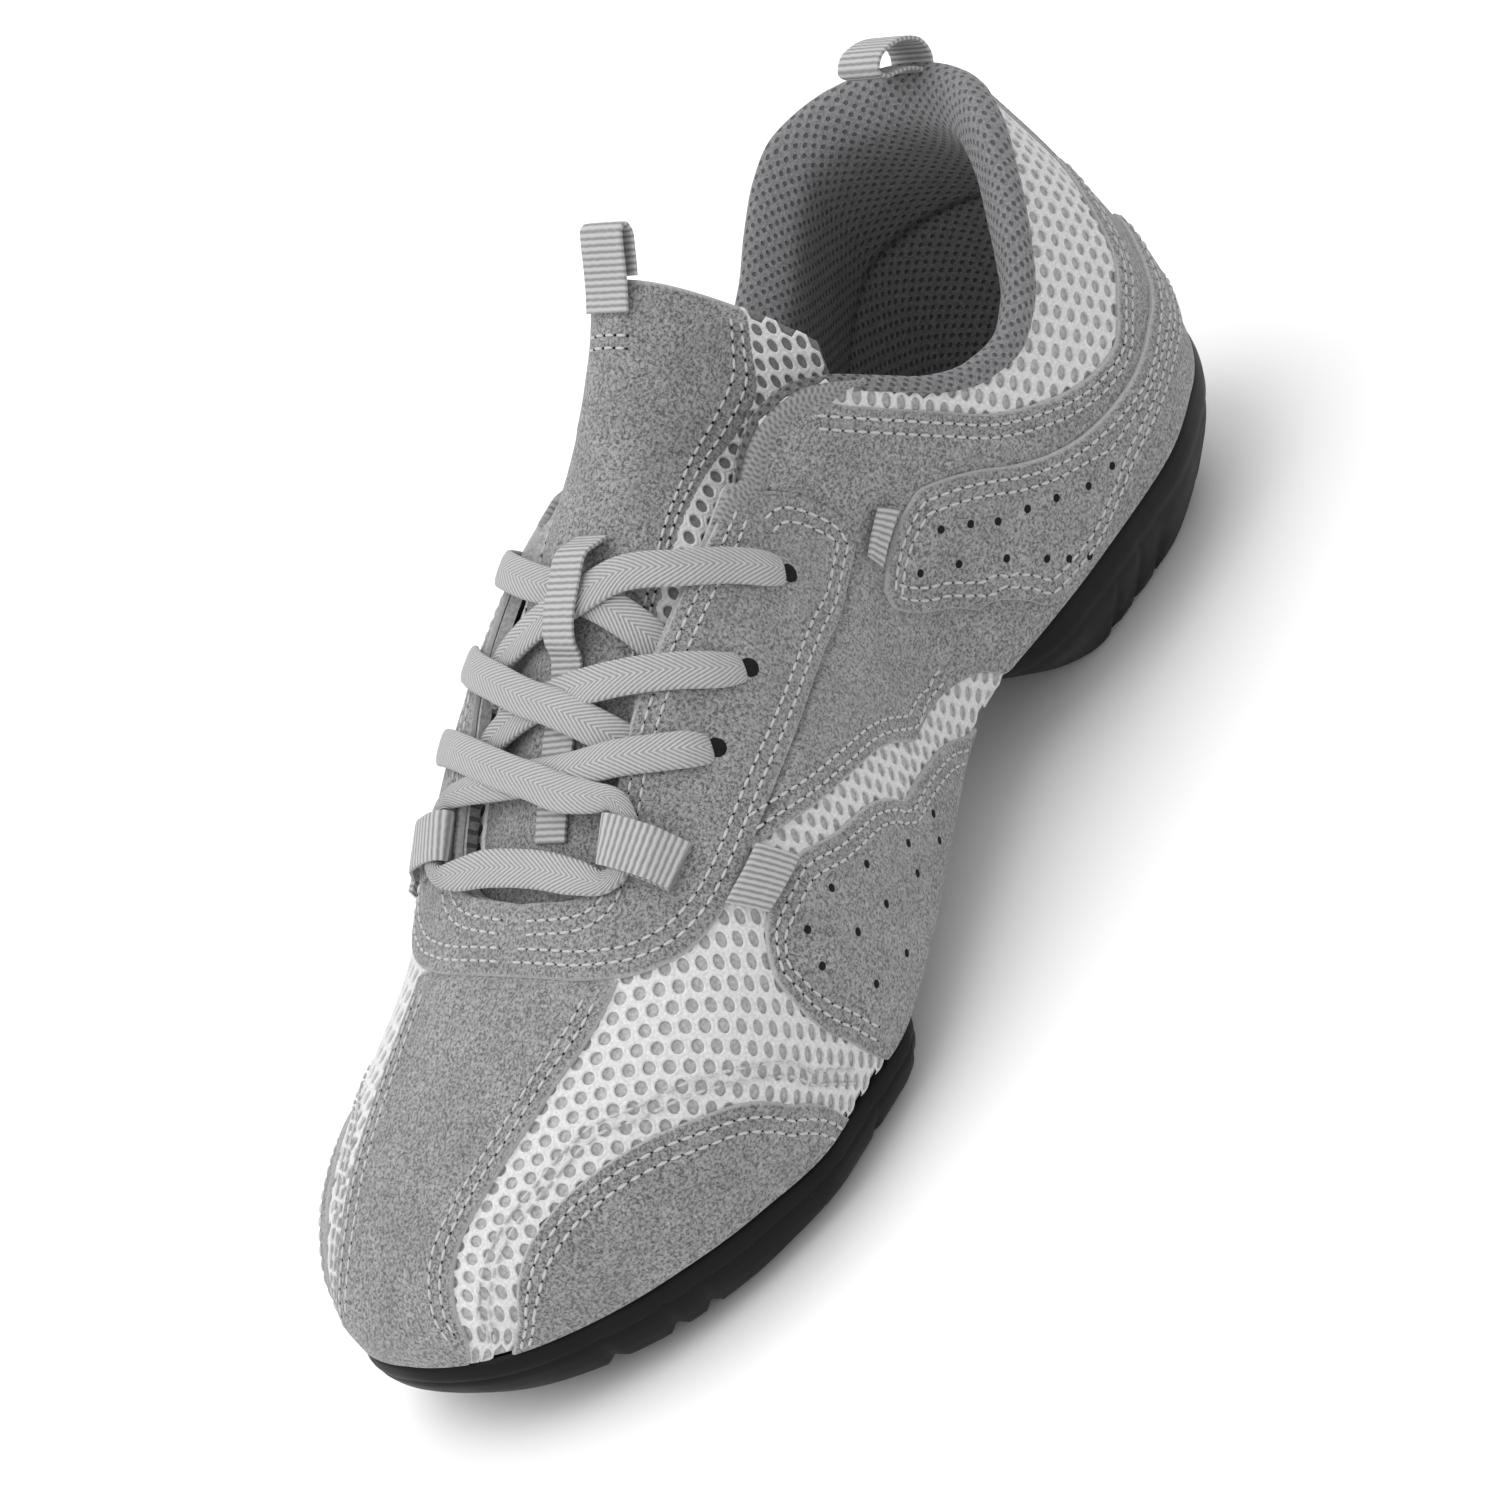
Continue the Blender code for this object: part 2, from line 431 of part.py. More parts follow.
def flatness(at, across, base, normal):
    """How far flat facets between grid points would cut into the curved skin, at each point."""
    low, high = slice(None, -1), slice(1, None)
    facing = normal[low, low] + normal[high, high]
    facing /= np.linalg.norm(facing, axis=-1, keepdims=True)
    cut = np.zeros(facing.shape[:2])
    for first, second in (((low, low), (high, high)), ((high, low), (low, high))):
        gap = between(at, across, first, second) - (base[first] + base[second]) / 2
        cut = np.maximum(cut, np.sum(gap * facing, -1))
    sag = np.zeros(at.shape)
    for i, j in np.ndindex(cut.shape):
        sag[i:i + 2, j:j + 2] = np.maximum(sag[i:i + 2, j:j + 2], cut[i, j])
    return sag


def patch_grid(name, grid, look, low, high):
    """An overlay through a grid of (at, across) pairs, lifted off the skin between two heights."""
    grid = np.array(grid, float)
    at, across = grid[..., 0], grid[..., 1]
    base, normal = skin(at, across), outward(at, across)
    tip = (at < 1e-6) | (at > 1 - 1e-6)
    normal = np.where(tip[..., None], normal + outward(at, -across), normal)
    normal[..., 2] = np.maximum(normal[..., 2], -0.25)
    normal /= np.linalg.norm(normal, axis=-1, keepdims=True)
    sag = flatness(at, across, base, normal)
    sheet = Sheet()
    for i, j in np.ndindex(at.shape):
        sheet.point((i, j), base[i, j] + normal[i, j] * (high + sag[i, j]), normal[i, j] * (low - high))
    for i in range(at.shape[0] - 1):
        for j in range(at.shape[1] - 1):
            sheet.face((i, j), (i + 1, j), (i + 1, j + 1), (i, j + 1))
    return sheet.solid(name, look)


def patch(name, edge_a, edge_b, along, over, look="suede", low=CLEAR, high=CLEAR + OVERLAY):
    """An overlay ruled between two edges of (at, across) rows."""
    first, second = trace(edge_a, along + 1), trace(edge_b, along + 1)
    t = np.linspace(0, 1, over + 1)[None, :, None]
    return patch_grid(name, first[:, None, :] * (1 - t) + second[:, None, :] * t, look, low, high)


# Upper

def stations(extra):
    """Shared stations along the length, closest at heel and toe, with the marks that pieces need."""
    base = list(unbow(np.linspace(0, 1, 37)))
    for mark in extra:
        near = min(range(1, len(base) - 1), key=lambda k: abs(base[k] - mark))
        if abs(base[near] - mark) < 0.010:
            base[near] = mark
        else:
            base.append(mark)
            base.sort()
    return [float(at) for at in base]


MARKS = (HEEL_HOLE_AT + FORE_HOLE_AT + (HEEL_CUT_AT[0], FORE_CUT_AT[0], COLLAR_CORNER_AT) + THROAT_TURN_AT
         + (THROAT_END_AT,))
BELLY_RISE = 0.0015


def belly(at):
    """The covered arch rounds down a little between the two soles."""
    run = (at - HEEL_CUT_AT[0] - 0.012) / (FORE_CUT_AT[0] - HEEL_CUT_AT[0] - 0.024)
    return BELLY_RISE * math.sin(math.pi * min(max(run, 0), 1)) ** 2


def is_open_below(at_a, at_b):
    middle = (at_a + at_b) / 2
    return any(lo < middle < hi for lo, hi in (HEEL_HOLE_AT, FORE_HOLE_AT))


def upper():
    """One hollow wall over the last: open at collar and throat, and underneath above both soles."""
    marks = stations(MARKS)
    sheet = Sheet()
    high, low = 5, 3
    end = len(marks) - 1

    def key(i, side, j):
        if i in (0, end):
            return (i, 1, j)
        if marks[i] >= THROAT_END_AT and j == 0:
            return (i, 0, 0)
        return (i, side, j)

    for i, at in enumerate(marks):
        for side in (1, -1):
            edge = rim(at, side)
            across = np.concatenate([np.linspace(edge, 0.5, high + 1), np.linspace(0.5, 1, low + 1)[1:]])
            place = skin(at, side * across)
            normal = outward(at, side * across)
            level = normal[-2] * (1, 1, 0)
            normal[-1] = level / np.linalg.norm(level) - (0, 0, 1)
            inner = place - normal * WALL
            inner[:, 2] = np.maximum(inner[:, 2], feather(at) + WALL)
            for j in range(high + low + 1):
                sheet.point(key(i, side, j), place[j], inner[j] - place[j])
            foot, centre = place[-1], BALL_WIDTH * last("centre", at)
            for share, name in ((0.35, "margin"), (1.0, "middle")):
                y = foot[1] + (centre - foot[1]) * share
                z = foot[2] - belly(at) * math.sin(share * math.pi / 2)
                who = side if name == "margin" and 0 < i < end else 0
                if i in (0, end):
                    sheet.index[(i, who, name)] = sheet.index[key(i, 1, high + low)]
                    sheet.index[(i, side, name)] = sheet.index[key(i, 1, high + low)]
                else:
                    sheet.point((i, who, name), (foot[0], y, z), (0, 0, WALL))
    for i in range(end):
        for side in (1, -1):
            for j in range(high + low):
                ring = (key(i, side, j), key(i, side, j + 1), key(i + 1, side, j + 1), key(i + 1, side, j))
                sheet.face(*(ring if side > 0 else ring[::-1]))
            sole = high + low
            ring = (key(i, side, sole), (i, side, "margin"), (i + 1, side, "margin"),
                    key(i + 1, side, sole))
            sheet.face(*(ring if side > 0 else ring[::-1]))
            if not is_open_below(marks[i], marks[i + 1]):
                ring = ((i, side, "margin"), (i, 0, "middle"), (i + 1, 0, "middle"),
                        (i + 1, side, "margin"))
                sheet.face(*(ring if side > 0 else ring[::-1]))
    return sheet.solid("upper", "mesh")


def outline(at, side, out):
    """The feather outline seen from above, moved outward; one shared point at each tip."""
    q = float(bow(at))
    ends = [unbow(max(q - 0.004, 0)), unbow(min(q + 0.004, 1))]
    edge = [np.array([station_x(a), BALL_WIDTH * last("centre", a) + side * half_width(a)]) for a in ends]
    run = edge[1] - edge[0]
    normal = np.array([-run[1], run[0]]) * side / np.linalg.norm(run)
    if at in (0.0, 1.0):
        normal = np.array([-1.0 if at == 0.0 else 1.0, 0.0])
    here = np.array([station_x(at), BALL_WIDTH * last("centre", at) + side * half_width(at)])
    return here + normal * out


def ladder(name, rows, look):
    """A solid from stacked levels; each level is a list of (lateral point, medial point) pairs."""
    verts, faces, number = [], [], {}

    def add(level, k, side):
        pair = rows[level][k]
        side = 0 if np.allclose(pair[0], pair[1]) else side
        if (level, k, side) not in number:
            number[(level, k, side)] = len(verts)
            verts.append(pair[side])
        return number[(level, k, side)]

    count, levels = len(rows[0]), len(rows)
    for k in range(count - 1):
        for level in (0, levels - 1):
            ring = [add(level, k, 0), add(level, k + 1, 0), add(level, k + 1, 1), add(level, k, 1)]
            faces.append(ring if level else ring[::-1])
        for level in range(levels - 1):
            for side in (0, 1):
                ring = [add(level, k, side), add(level, k + 1, side), add(level + 1, k + 1, side),
                        add(level + 1, k, side)]
                faces.append(ring if side else ring[::-1])
    for level in range(levels - 1):
        for k in (0, count - 1):
            ring = [add(level, k, 0), add(level, k, 1), add(level + 1, k, 1), add(level + 1, k, 0)]
            faces.append(ring if k else ring[::-1])
    return build(name, verts, faces, look)


# Soles and insole

def groove(at, grooves):
    """Depth of the cross grooves under the sole at a station."""
    half = GROOVE_HALF / LENGTH
    return GROOVE_DEPTH * max([max(0.0, 1 - abs(at - g) / half) for g in grooves])


def sole(name, marks, tip, cut, corner, side_table, width, ground, rise, grooves):
    """A cup sole: tip is the rounded end, cut the squared end at the top and at the floor."""
    rows = []
    for down, out in side_table:
        edge = cut[0] + (cut[1] - cut[0]) * down
        level = []
        for at_top in marks:
            at = tip + (at_top - tip) * (edge - tip) / (cut[0] - tip)
            near = abs(edge - at) * LENGTH
            pair = []
            for side in (1, -1):
                place = outline(at, side, out * width)
                middle = BALL_WIDTH * last("centre", at)
                if near < corner and at != tip:
                    trim = corner - math.sqrt(max(corner ** 2 - (corner - near) ** 2, 0))
                    place[1] -= side * min(trim, abs(place[1] - middle) * 0.6)
                floor = read(ground, GROUND_COLUMNS, "up", at) * rise + groove(at, grooves)
                top = feather(at_top) - CLEAR
                pair.append((place[0], place[1], top + (floor - top) * down))
            level.append(pair)
        rows.append(level)
    return ladder(name, rows, "sole")


def sole_marks(marks, tip, cut, corner, grooves, flat):
    """Stations of a sole: the shared ones, its corner, and three for each groove."""
    edge = cut[0]
    scale = (cut[1] - tip) / (edge - tip)
    half = GROOVE_HALF / LENGTH
    wanted = {at for at in marks if min(tip, edge) <= at <= max(tip, edge)}
    for share in (0.0, 0.06, 0.25, 0.6, 1.0):
        wanted.add(edge + (tip - edge) / abs(tip - edge) * corner / LENGTH * share)
    for place in [g + side * half for g in grooves for side in (-1, 0, 1)] + list(flat):
        wanted.add(tip + (place - tip) / scale)
    kept = []
    for at in sorted(wanted):
        if not kept or at - kept[-1] > 0.0012:
            kept.append(at)
    return kept


def soles():
    marks = stations(MARKS)
    corner = 0.012
    heel = sole_marks(marks, 0.0, HEEL_CUT_AT, corner, HEEL_GROOVES_AT, HEEL_FLAT_AT)
    sole("heel_sole", heel, 0.0, HEEL_CUT_AT, corner, HEEL_SIDE, HEEL_WIDTH, HEEL_GROUND, HEEL_RISE,
         HEEL_GROOVES_AT)
    fore = sole_marks(marks, 1.0, FORE_CUT_AT, corner, FORE_GROOVES_AT, FORE_FLAT_AT)
    sole("forefoot_sole", fore, 1.0, FORE_CUT_AT, corner, FORE_SIDE, BALL_WIDTH, FORE_GROUND, TOE_RISE,
         FORE_GROOVES_AT)


def insole():
    """The footbed inside the upper, on its bottom wall."""
    marks = stations(MARKS)
    inset = WALL + CLEAR
    rows = []
    for up, back in ((WALL + CLEAR + INSOLE_THICK, 0.0012), (WALL + CLEAR, 0.0)):
        level = []
        for at in marks:
            z = feather(at) + up
            level.append([np.append(outline(at, side, -inset - back) + (back_shift(at, z), 0), z)
                          for side in (1, -1)])
        rows.append(level)
    return ladder("insole", rows, "lining")


# Collar padding and tongue

def collar_padding():
    """Padded roll inside the topline, from one throat corner round the heel to the other."""
    reach = float(bow(PAD_END_AT))
    verts, faces = [], []
    size = len(PAD_PROFILE) + 2
    for t in np.linspace(-1, 1, 37):
        side = 1 if t >= 0 else -1
        at = float(unbow(abs(t) * reach))
        full = float(read(PAD, PAD_COLUMNS, "thick", at))
        top = float(skin(at, side * rim(at, side))[2])
        ring = [(0.0, 0.0)]
        ring += [(share, full * PAD_THICK * thick) for share, thick in PAD_PROFILE]
        ring.append((1.0, 0.0))
        for share, deep in ring:
            height = np.array(top - share * PAD_DEPTH)
            across = side * across_at_height(at, height)
            verts.append(on_skin(np.array(at), across, np.array(-WALL - 2 * CLEAR - deep)))
        start = len(verts) - size
        if start:
            for j in range(size):
                a, b = start + j, start + (j + 1) % size
                faces.append((a, b, b - size, a - size))
    faces.append(tuple(range(size)))
    faces.append(tuple(reversed(range(len(verts) - size, len(verts)))))
    return build("collar_padding", verts, faces, "lining")


def opening_half(at):
    """Distance from the middle to the upper's free edge, round the collar and the throat."""
    edge = rim(at, 1)
    return float(skin(at, edge)[1] - skin(at, 0.0)[1])


def tongue_point(at, share, depth):
    """A point of the tongue: share runs from -1 to 1 across it, depth from 0 outside to 1 inside."""
    row = {name: float(read(TONGUE, TONGUE_COLUMNS, name, at)) for name in TONGUE_COLUMNS[1:]}
    place = at - row["sweep"] * share ** 2
    half = abs(share) * THROAT_WIDTH * row["half"]
    across = math.copysign(float(across_at_half(place, half)), share)
    tuck = min(half / max(opening_half(min(place, THROAT_TURN_AT[0])) - TUCK_INSET, TUCK_LEAST), 1)
    tuck = (tuck * tuck * (3 - 2 * tuck)) ** TUCK_POWER
    lift = row["lift"] + (row["edge_lift"] - row["lift"]) * tuck - depth * (1 - EDGE_THINNING * share ** 4)
    return on_skin(np.array(place), np.array(across), np.array(lift * TONGUE_THICK))


def tongue():
    """Padded tongue from under the throat's end to above the instep."""
    stops = np.concatenate([TONGUE[:, 0][:5], np.linspace(0.47, TONGUE[-1, 0], 8)])
    shares = np.sin(np.linspace(-1, 1, 13) * math.pi / 2)
    sheet = Sheet()
    for i, at in enumerate(stops):
        for j, share in enumerate(shares):
            outer, inner = tongue_point(at, share, 0.0), tongue_point(at, share, 1.0)
            sheet.point((i, j), outer, inner - outer)
    for i in range(len(stops) - 1):
        for j in range(len(shares) - 1):
            sheet.face((i, j), (i + 1, j), (i + 1, j + 1), (i, j + 1))
    return sheet.solid("tongue", "suede")


def tongue_top(at, y, lift):
    """A point above the tongue's outer face, y from its middle line."""
    half = THROAT_WIDTH * float(read(TONGUE, TONGUE_COLUMNS, "half", at))
    place, under = tongue_point(at, y / half, 0.0), tongue_point(at, y / half, 1.0)
    up = (place - under) / np.linalg.norm(place - under)
    return place + up * lift


# Suede overlays

def eyestay():
    """U of suede round the throat, both sides joined round its front end."""
    count = 24
    rows = []
    t = np.linspace(0, len(EYESTAY_OUTER) - 1, count)
    steps, table = range(len(EYESTAY_OUTER)), np.array(EYESTAY_OUTER)
    outer = np.stack([smooth(steps, table[:, k], t) for k in (0, 1)], -1)
    inner_at = smooth(range(len(EYESTAY_INNER_AT)), EYESTAY_INNER_AT, t)
    for side in (1, -1):
        half = []
        for k in range(count):
            margin = EDGE_MARGIN / BALL_WIDTH
            at = float(inner_at[k])
            edge = rim(at, side) + margin if at < THROAT_END_AT else 0.0
            if k == count - 1:
                at, edge = THROAT_END_AT + EDGE_MARGIN / LENGTH, 0.0
            half.append([(at + (outer[k, 0] - at) * s, side * (edge + (outer[k, 1] - edge) * s))
                         for s in np.linspace(0, 1, 4)])
        rows.append(half)
    return patch_grid("eyestay", rows[0] + rows[1][-2::-1], "suede", CLEAR, CLEAR + OVERLAY)


def toe_strip():
    """Suede strip down the middle of the toe to the feather line at the tip."""
    count = 16
    lateral, medial = trace(STRIP_EDGE, count), trace(STRIP_EDGE_MEDIAL, count)
    middle = trace(STRIP_MIDDLE, count)
    grid = []
    for k in range(count):
        row = []
        for edge in (lateral[k], medial[k]):
            side = math.copysign(1, edge[1])
            target = middle[k] * (1, side)
            row.append([tuple(edge + (target - edge) * s) for s in (0.0, 0.34, 0.67, 1.0)])
        grid.append(row[0] + row[1][-2::-1])
    return patch_grid("toe_strip", grid, "suede", CLEAR, CLEAR + OVERLAY)


def backstay():
    """Raised suede strip up the middle of the heel."""
    grid = []
    for share in np.linspace(0, 1, 11):
        row = []
        for t in np.linspace(-1, 1, 7):
            side = 1 if t >= 0 else -1
            edge = BACKSTAY_AT[0] + (BACKSTAY_AT[1] - BACKSTAY_AT[0]) * share
            at = float(unbow(abs(t) * bow(edge)))
            top = rim(at, side) + EDGE_MARGIN / BALL_WIDTH
            row.append((at, side * (top + (0.905 - top) * share)))
        grid.append(row)
    return patch_grid("backstay", grid, "suede", CLEAR, CLEAR + OVERLAY)


def panels(side, word):
    """The overlays that lie on one side of the shoe."""
    turn = (lambda rows: rows) if side > 0 else mirrored
    second = 2 * CLEAR + OVERLAY + RAISE
    patch("toe_panel_" + word, turn(TOE_SIDE_TOP), turn(TOE_SIDE_LOW), 16, 4)
    patch("arch_panel_" + word, turn(ARCH_TOP), turn(ARCH_LOW), 17, 5)
    first = 1.5 * CLEAR
    patch("quarter_" + word, turn(QUARTER_LOW), turn(QUARTER_TOP), 32, 4, "suede", first, first + OVERLAY)
    patch("rear_panel_" + word, turn(REAR_TOP), turn(REAR_LOW), 16, 3, "suede", second, second + OVERLAY)
    top = second + CLEAR
    for name, rows in (("front_tab_", FRONT_TAB), ("rear_tab_", REAR_TAB)):
        patch(name + word, turn(rows[:2]), turn(rows[2:]), 2, 2, "webbing", top, top + WEBBING)


# Laces, loops and tabs

def band(name, points, wide, width, thick, look, taper=1.0, thin=1.0):
    """A flat band along points; wide is its width direction, one for all or one a point."""
    points = np.asarray(points, float)
    along = np.gradient(points, axis=0)
    along /= np.linalg.norm(along, axis=1, keepdims=True)
    wide = np.broadcast_to(np.asarray(wide, float), points.shape)
    wide = wide - along * np.sum(along * wide, axis=1, keepdims=True)
    wide /= np.linalg.norm(wide, axis=1, keepdims=True)
    up = np.cross(wide, along)
    widths = np.broadcast_to(width * np.asarray(taper, float), len(points))
    heights = np.broadcast_to(thick * np.asarray(thin, float), len(points))
    verts, faces = [], []
    for place, side, high, w, h in zip(points, wide, up, widths, heights):
        for u, v in ((-0.5, -0.5), (0.5, -0.5), (0.5, 0.5), (-0.5, 0.5)):
            verts.append(place + side * (u * w) + high * (v * h))
    for k in range(len(points) - 1):
        for j in range(4):
            a, b = 4 * k + j, 4 * k + (j + 1) % 4
            faces.append((a, b, b + 4, a + 4))
    faces += [(3, 2, 1, 0), tuple(4 * len(points) - 4 + j for j in range(4))]
    return build(name, verts, faces, look)


def lace(name, rows, step, tucked=False):
    """A run of lace over a table of rows; a tucked one starts inside the run it joins."""
    rows = np.array(rows, float)
    leg = np.hypot(np.diff(rows[:, 0]) * LENGTH, np.diff(rows[:, 1]) * ACROSS_LENGTH)
    run = np.concatenate([[0], np.cumsum(leg)])
    t = np.linspace(0, run[-1], int(round(run[-1] / step)) + 1)
    at, across, lift, taper = (smooth(run, rows[:, k], t) for k in range(4))
    points = on_skin(at, across, lift)
    along = np.gradient(points, axis=0)
    wide = np.cross(outward(at, across), along)
    thin = np.ones(len(t))
    if tucked:
        thin[:2] = 0.8
    return band(name, points, wide, LACE_WIDTH, LACE_THICK, "lace", taper * thin, thin)


def join(keep, other):
    """Union of two crossing runs of lace into the first object."""
    union = keep.modifiers.new("union", "BOOLEAN")
    union.operation, union.solver, union.object = "UNION", "EXACT", other
    shape = bpy.data.meshes.new_from_object(keep.evaluated_get(bpy.context.evaluated_depsgraph_get()))
    keep.modifiers.clear()
    keep.data = shape
    work = bmesh.new()
    work.from_mesh(shape)
    bmesh.ops.remove_doubles(work, verts=work.verts, dist=2e-6)
    bmesh.ops.dissolve_degenerate(work, edges=work.edges, dist=2e-6)
    bmesh.ops.triangulate(work, faces=work.faces)
    work.to_mesh(shape)
    work.free()
    bpy.data.objects.remove(other)
    return keep


def laces():
    """The lace's three visible runs, each with its crossing joined."""
    step = 0.0050
    front = lace("lace_front", LACE_G_J, step)
    join(front, lace("lace_h", LACE_J_H, step, True))
    middle = lace("lace_middle", LACE_F, step)
    join(middle, lace("lace_e", LACE_E, step))
    top = lace("lace_top", LACE_B, step)
    join(top, lace("lace_a", LACE_A, step))


def lace_loop(side, word):
    """Folded webbing sewn to the eyestay, round the lace's turn."""
    rows = [(across, lift) for across, lift in LACE_LOOP_PATH]
    at = np.full(len(rows), LACE_LOOP_AT)
    across, lift = np.array(rows).T
    points = on_skin(at, side * across, lift)
    ahead = on_skin(at + 0.01, side * across, lift)
    return band("lace_loop_" + word, points, (ahead - points) * side, LACE_LOOP_WIDTH, WEBBING, "webbing")


def heel_loop():
    """Pull loop on the back of the collar, leaning forward over the opening."""
    top = skin(0.0, rim(0.0, 1))
    points = [top + (x, 0, z) for x, z in HEEL_LOOP_PATH]
    return band("heel_loop", points, (0, 1, 0), HEEL_LOOP_WIDTH, WEBBING, "webbing")


def tongue_loop():
    """Pull loop standing on the tongue's top."""
    foot = tongue_top(TONGUE_LOOP_AT, 0.0, CLEAR + WEBBING / 2)
    points = [foot + (x, 0, z) for x, z in TONGUE_LOOP_PATH]
    return band("tongue_loop", points, (0, 1, 0), LOOP_WIDTH, WEBBING, "webbing")


def lace_keeper():
    """Webbing strip down the tongue; its upper end bridges the top lace crossing."""
    stops, lifts = np.array(KEEPER_ROWS).T
    t = np.linspace(0, len(stops) - 1, 2 * len(stops) - 1)
    at, lift = (smooth(range(len(stops)), values, t) for values in (stops, lifts))
    points = [tongue_top(a, KEEPER_Y, h + CLEAR + WEBBING / 2) for a, h in zip(at, lift)]
    return band("lace_keeper", points, (0, 1, 0), KEEPER_WIDTH, WEBBING, "webbing")


def main():
    for old in list(bpy.data.objects):
        bpy.data.objects.remove(old)
    upper()
    soles()
    insole()
    collar_padding()
    tongue()
    eyestay()
    toe_strip()
    backstay()
    for side, word in ((1, "lateral"), (-1, "medial")):
        panels(side, word)
        lace_loop(side, word)
    laces()
    heel_loop()
    tongue_loop()
    lace_keeper()


main()
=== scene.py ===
"""Looks of the dance sneaker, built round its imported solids."""

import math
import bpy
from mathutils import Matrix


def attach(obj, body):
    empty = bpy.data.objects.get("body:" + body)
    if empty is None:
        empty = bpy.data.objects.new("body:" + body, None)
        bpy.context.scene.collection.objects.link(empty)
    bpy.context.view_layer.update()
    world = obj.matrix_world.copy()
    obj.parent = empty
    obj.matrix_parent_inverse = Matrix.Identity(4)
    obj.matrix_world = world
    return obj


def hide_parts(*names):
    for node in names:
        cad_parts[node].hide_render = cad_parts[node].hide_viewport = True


bl_info = {
    "name": "Dance sneaker looks",
    "version": (1, 0, 0),
    "blender": (4, 5, 0),
    "location": "3D View > Sidebar > Sneaker",
    "description": "Suede, spacer mesh, laces, webbing, stitching and split rubber sole of a dance sneaker",
    "category": "Object",
}

import bmesh
import bpy
import numpy as np
from mathutils import Matrix, Vector

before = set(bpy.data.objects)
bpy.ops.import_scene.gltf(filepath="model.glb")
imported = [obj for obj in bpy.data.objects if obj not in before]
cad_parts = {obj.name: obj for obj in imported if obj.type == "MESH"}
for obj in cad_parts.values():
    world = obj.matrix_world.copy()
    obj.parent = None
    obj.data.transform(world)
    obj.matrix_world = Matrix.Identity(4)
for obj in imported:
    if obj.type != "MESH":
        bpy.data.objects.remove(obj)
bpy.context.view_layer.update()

# The shoe's form: the same sizes and tables as its solids

# Driving sizes, in metres
LENGTH = 0.270            # upper, back of the heel to the tip of the toe
BALL_WIDTH = 0.089        # feather line, across the ball
HEEL_WIDTH = 0.067        # feather line, across the heel seat
HEEL_RISE = 0.025         # floor to feather line at the heel
BALL_RISE = 0.012         # floor to feather line at the ball
TOE_RISE = 0.0215         # floor to feather line at the toe tip
RIDGE_HEIGHT = 0.101      # floor to the ridge line at half length
COLLAR_HEIGHT = 0.096     # floor to the topline at the back
THROAT_WIDTH = 0.052      # throat opening at the collar corner
WALL = 0.0022             # upper: suede or mesh with its lining
CLEAR = 0.0003            # gap between touching pieces
EDGE_MARGIN = 0.0010      # overlay edges stop this far from the upper's free edge
INSOLE_THICK = 0.0035
PAD_THICK = 0.0065        # padded collar roll at the topline
PAD_DEPTH = 0.034         # padded collar, topline to lower edge
TONGUE_THICK = 0.0055
LACE_WIDTH = 0.0072
WEBBING = 0.0010          # webbing of loops and tabs
LOOP_WIDTH = 0.0095
GROOVE_DEPTH = 0.0020
GROOVE_HALF = 0.0016

# Stations as shares of LENGTH
HEEL_REST_AT = 0.145      # middle of the heel's flat pad
COLLAR_CORNER_AT = 0.440  # where the topline turns into the throat
THROAT_END_AT = 0.736
HEEL_CUT_AT = (0.372, 0.296)       # breast of the heel sole, top and floor
FORE_CUT_AT = (0.622, 0.640)       # rear edge of the forefoot sole, top and floor
HEEL_GROOVES_AT = (0.096, 0.190, 0.220, 0.251)
FORE_GROOVES_AT = (0.662, 0.722, 0.885, 0.909, 0.946)

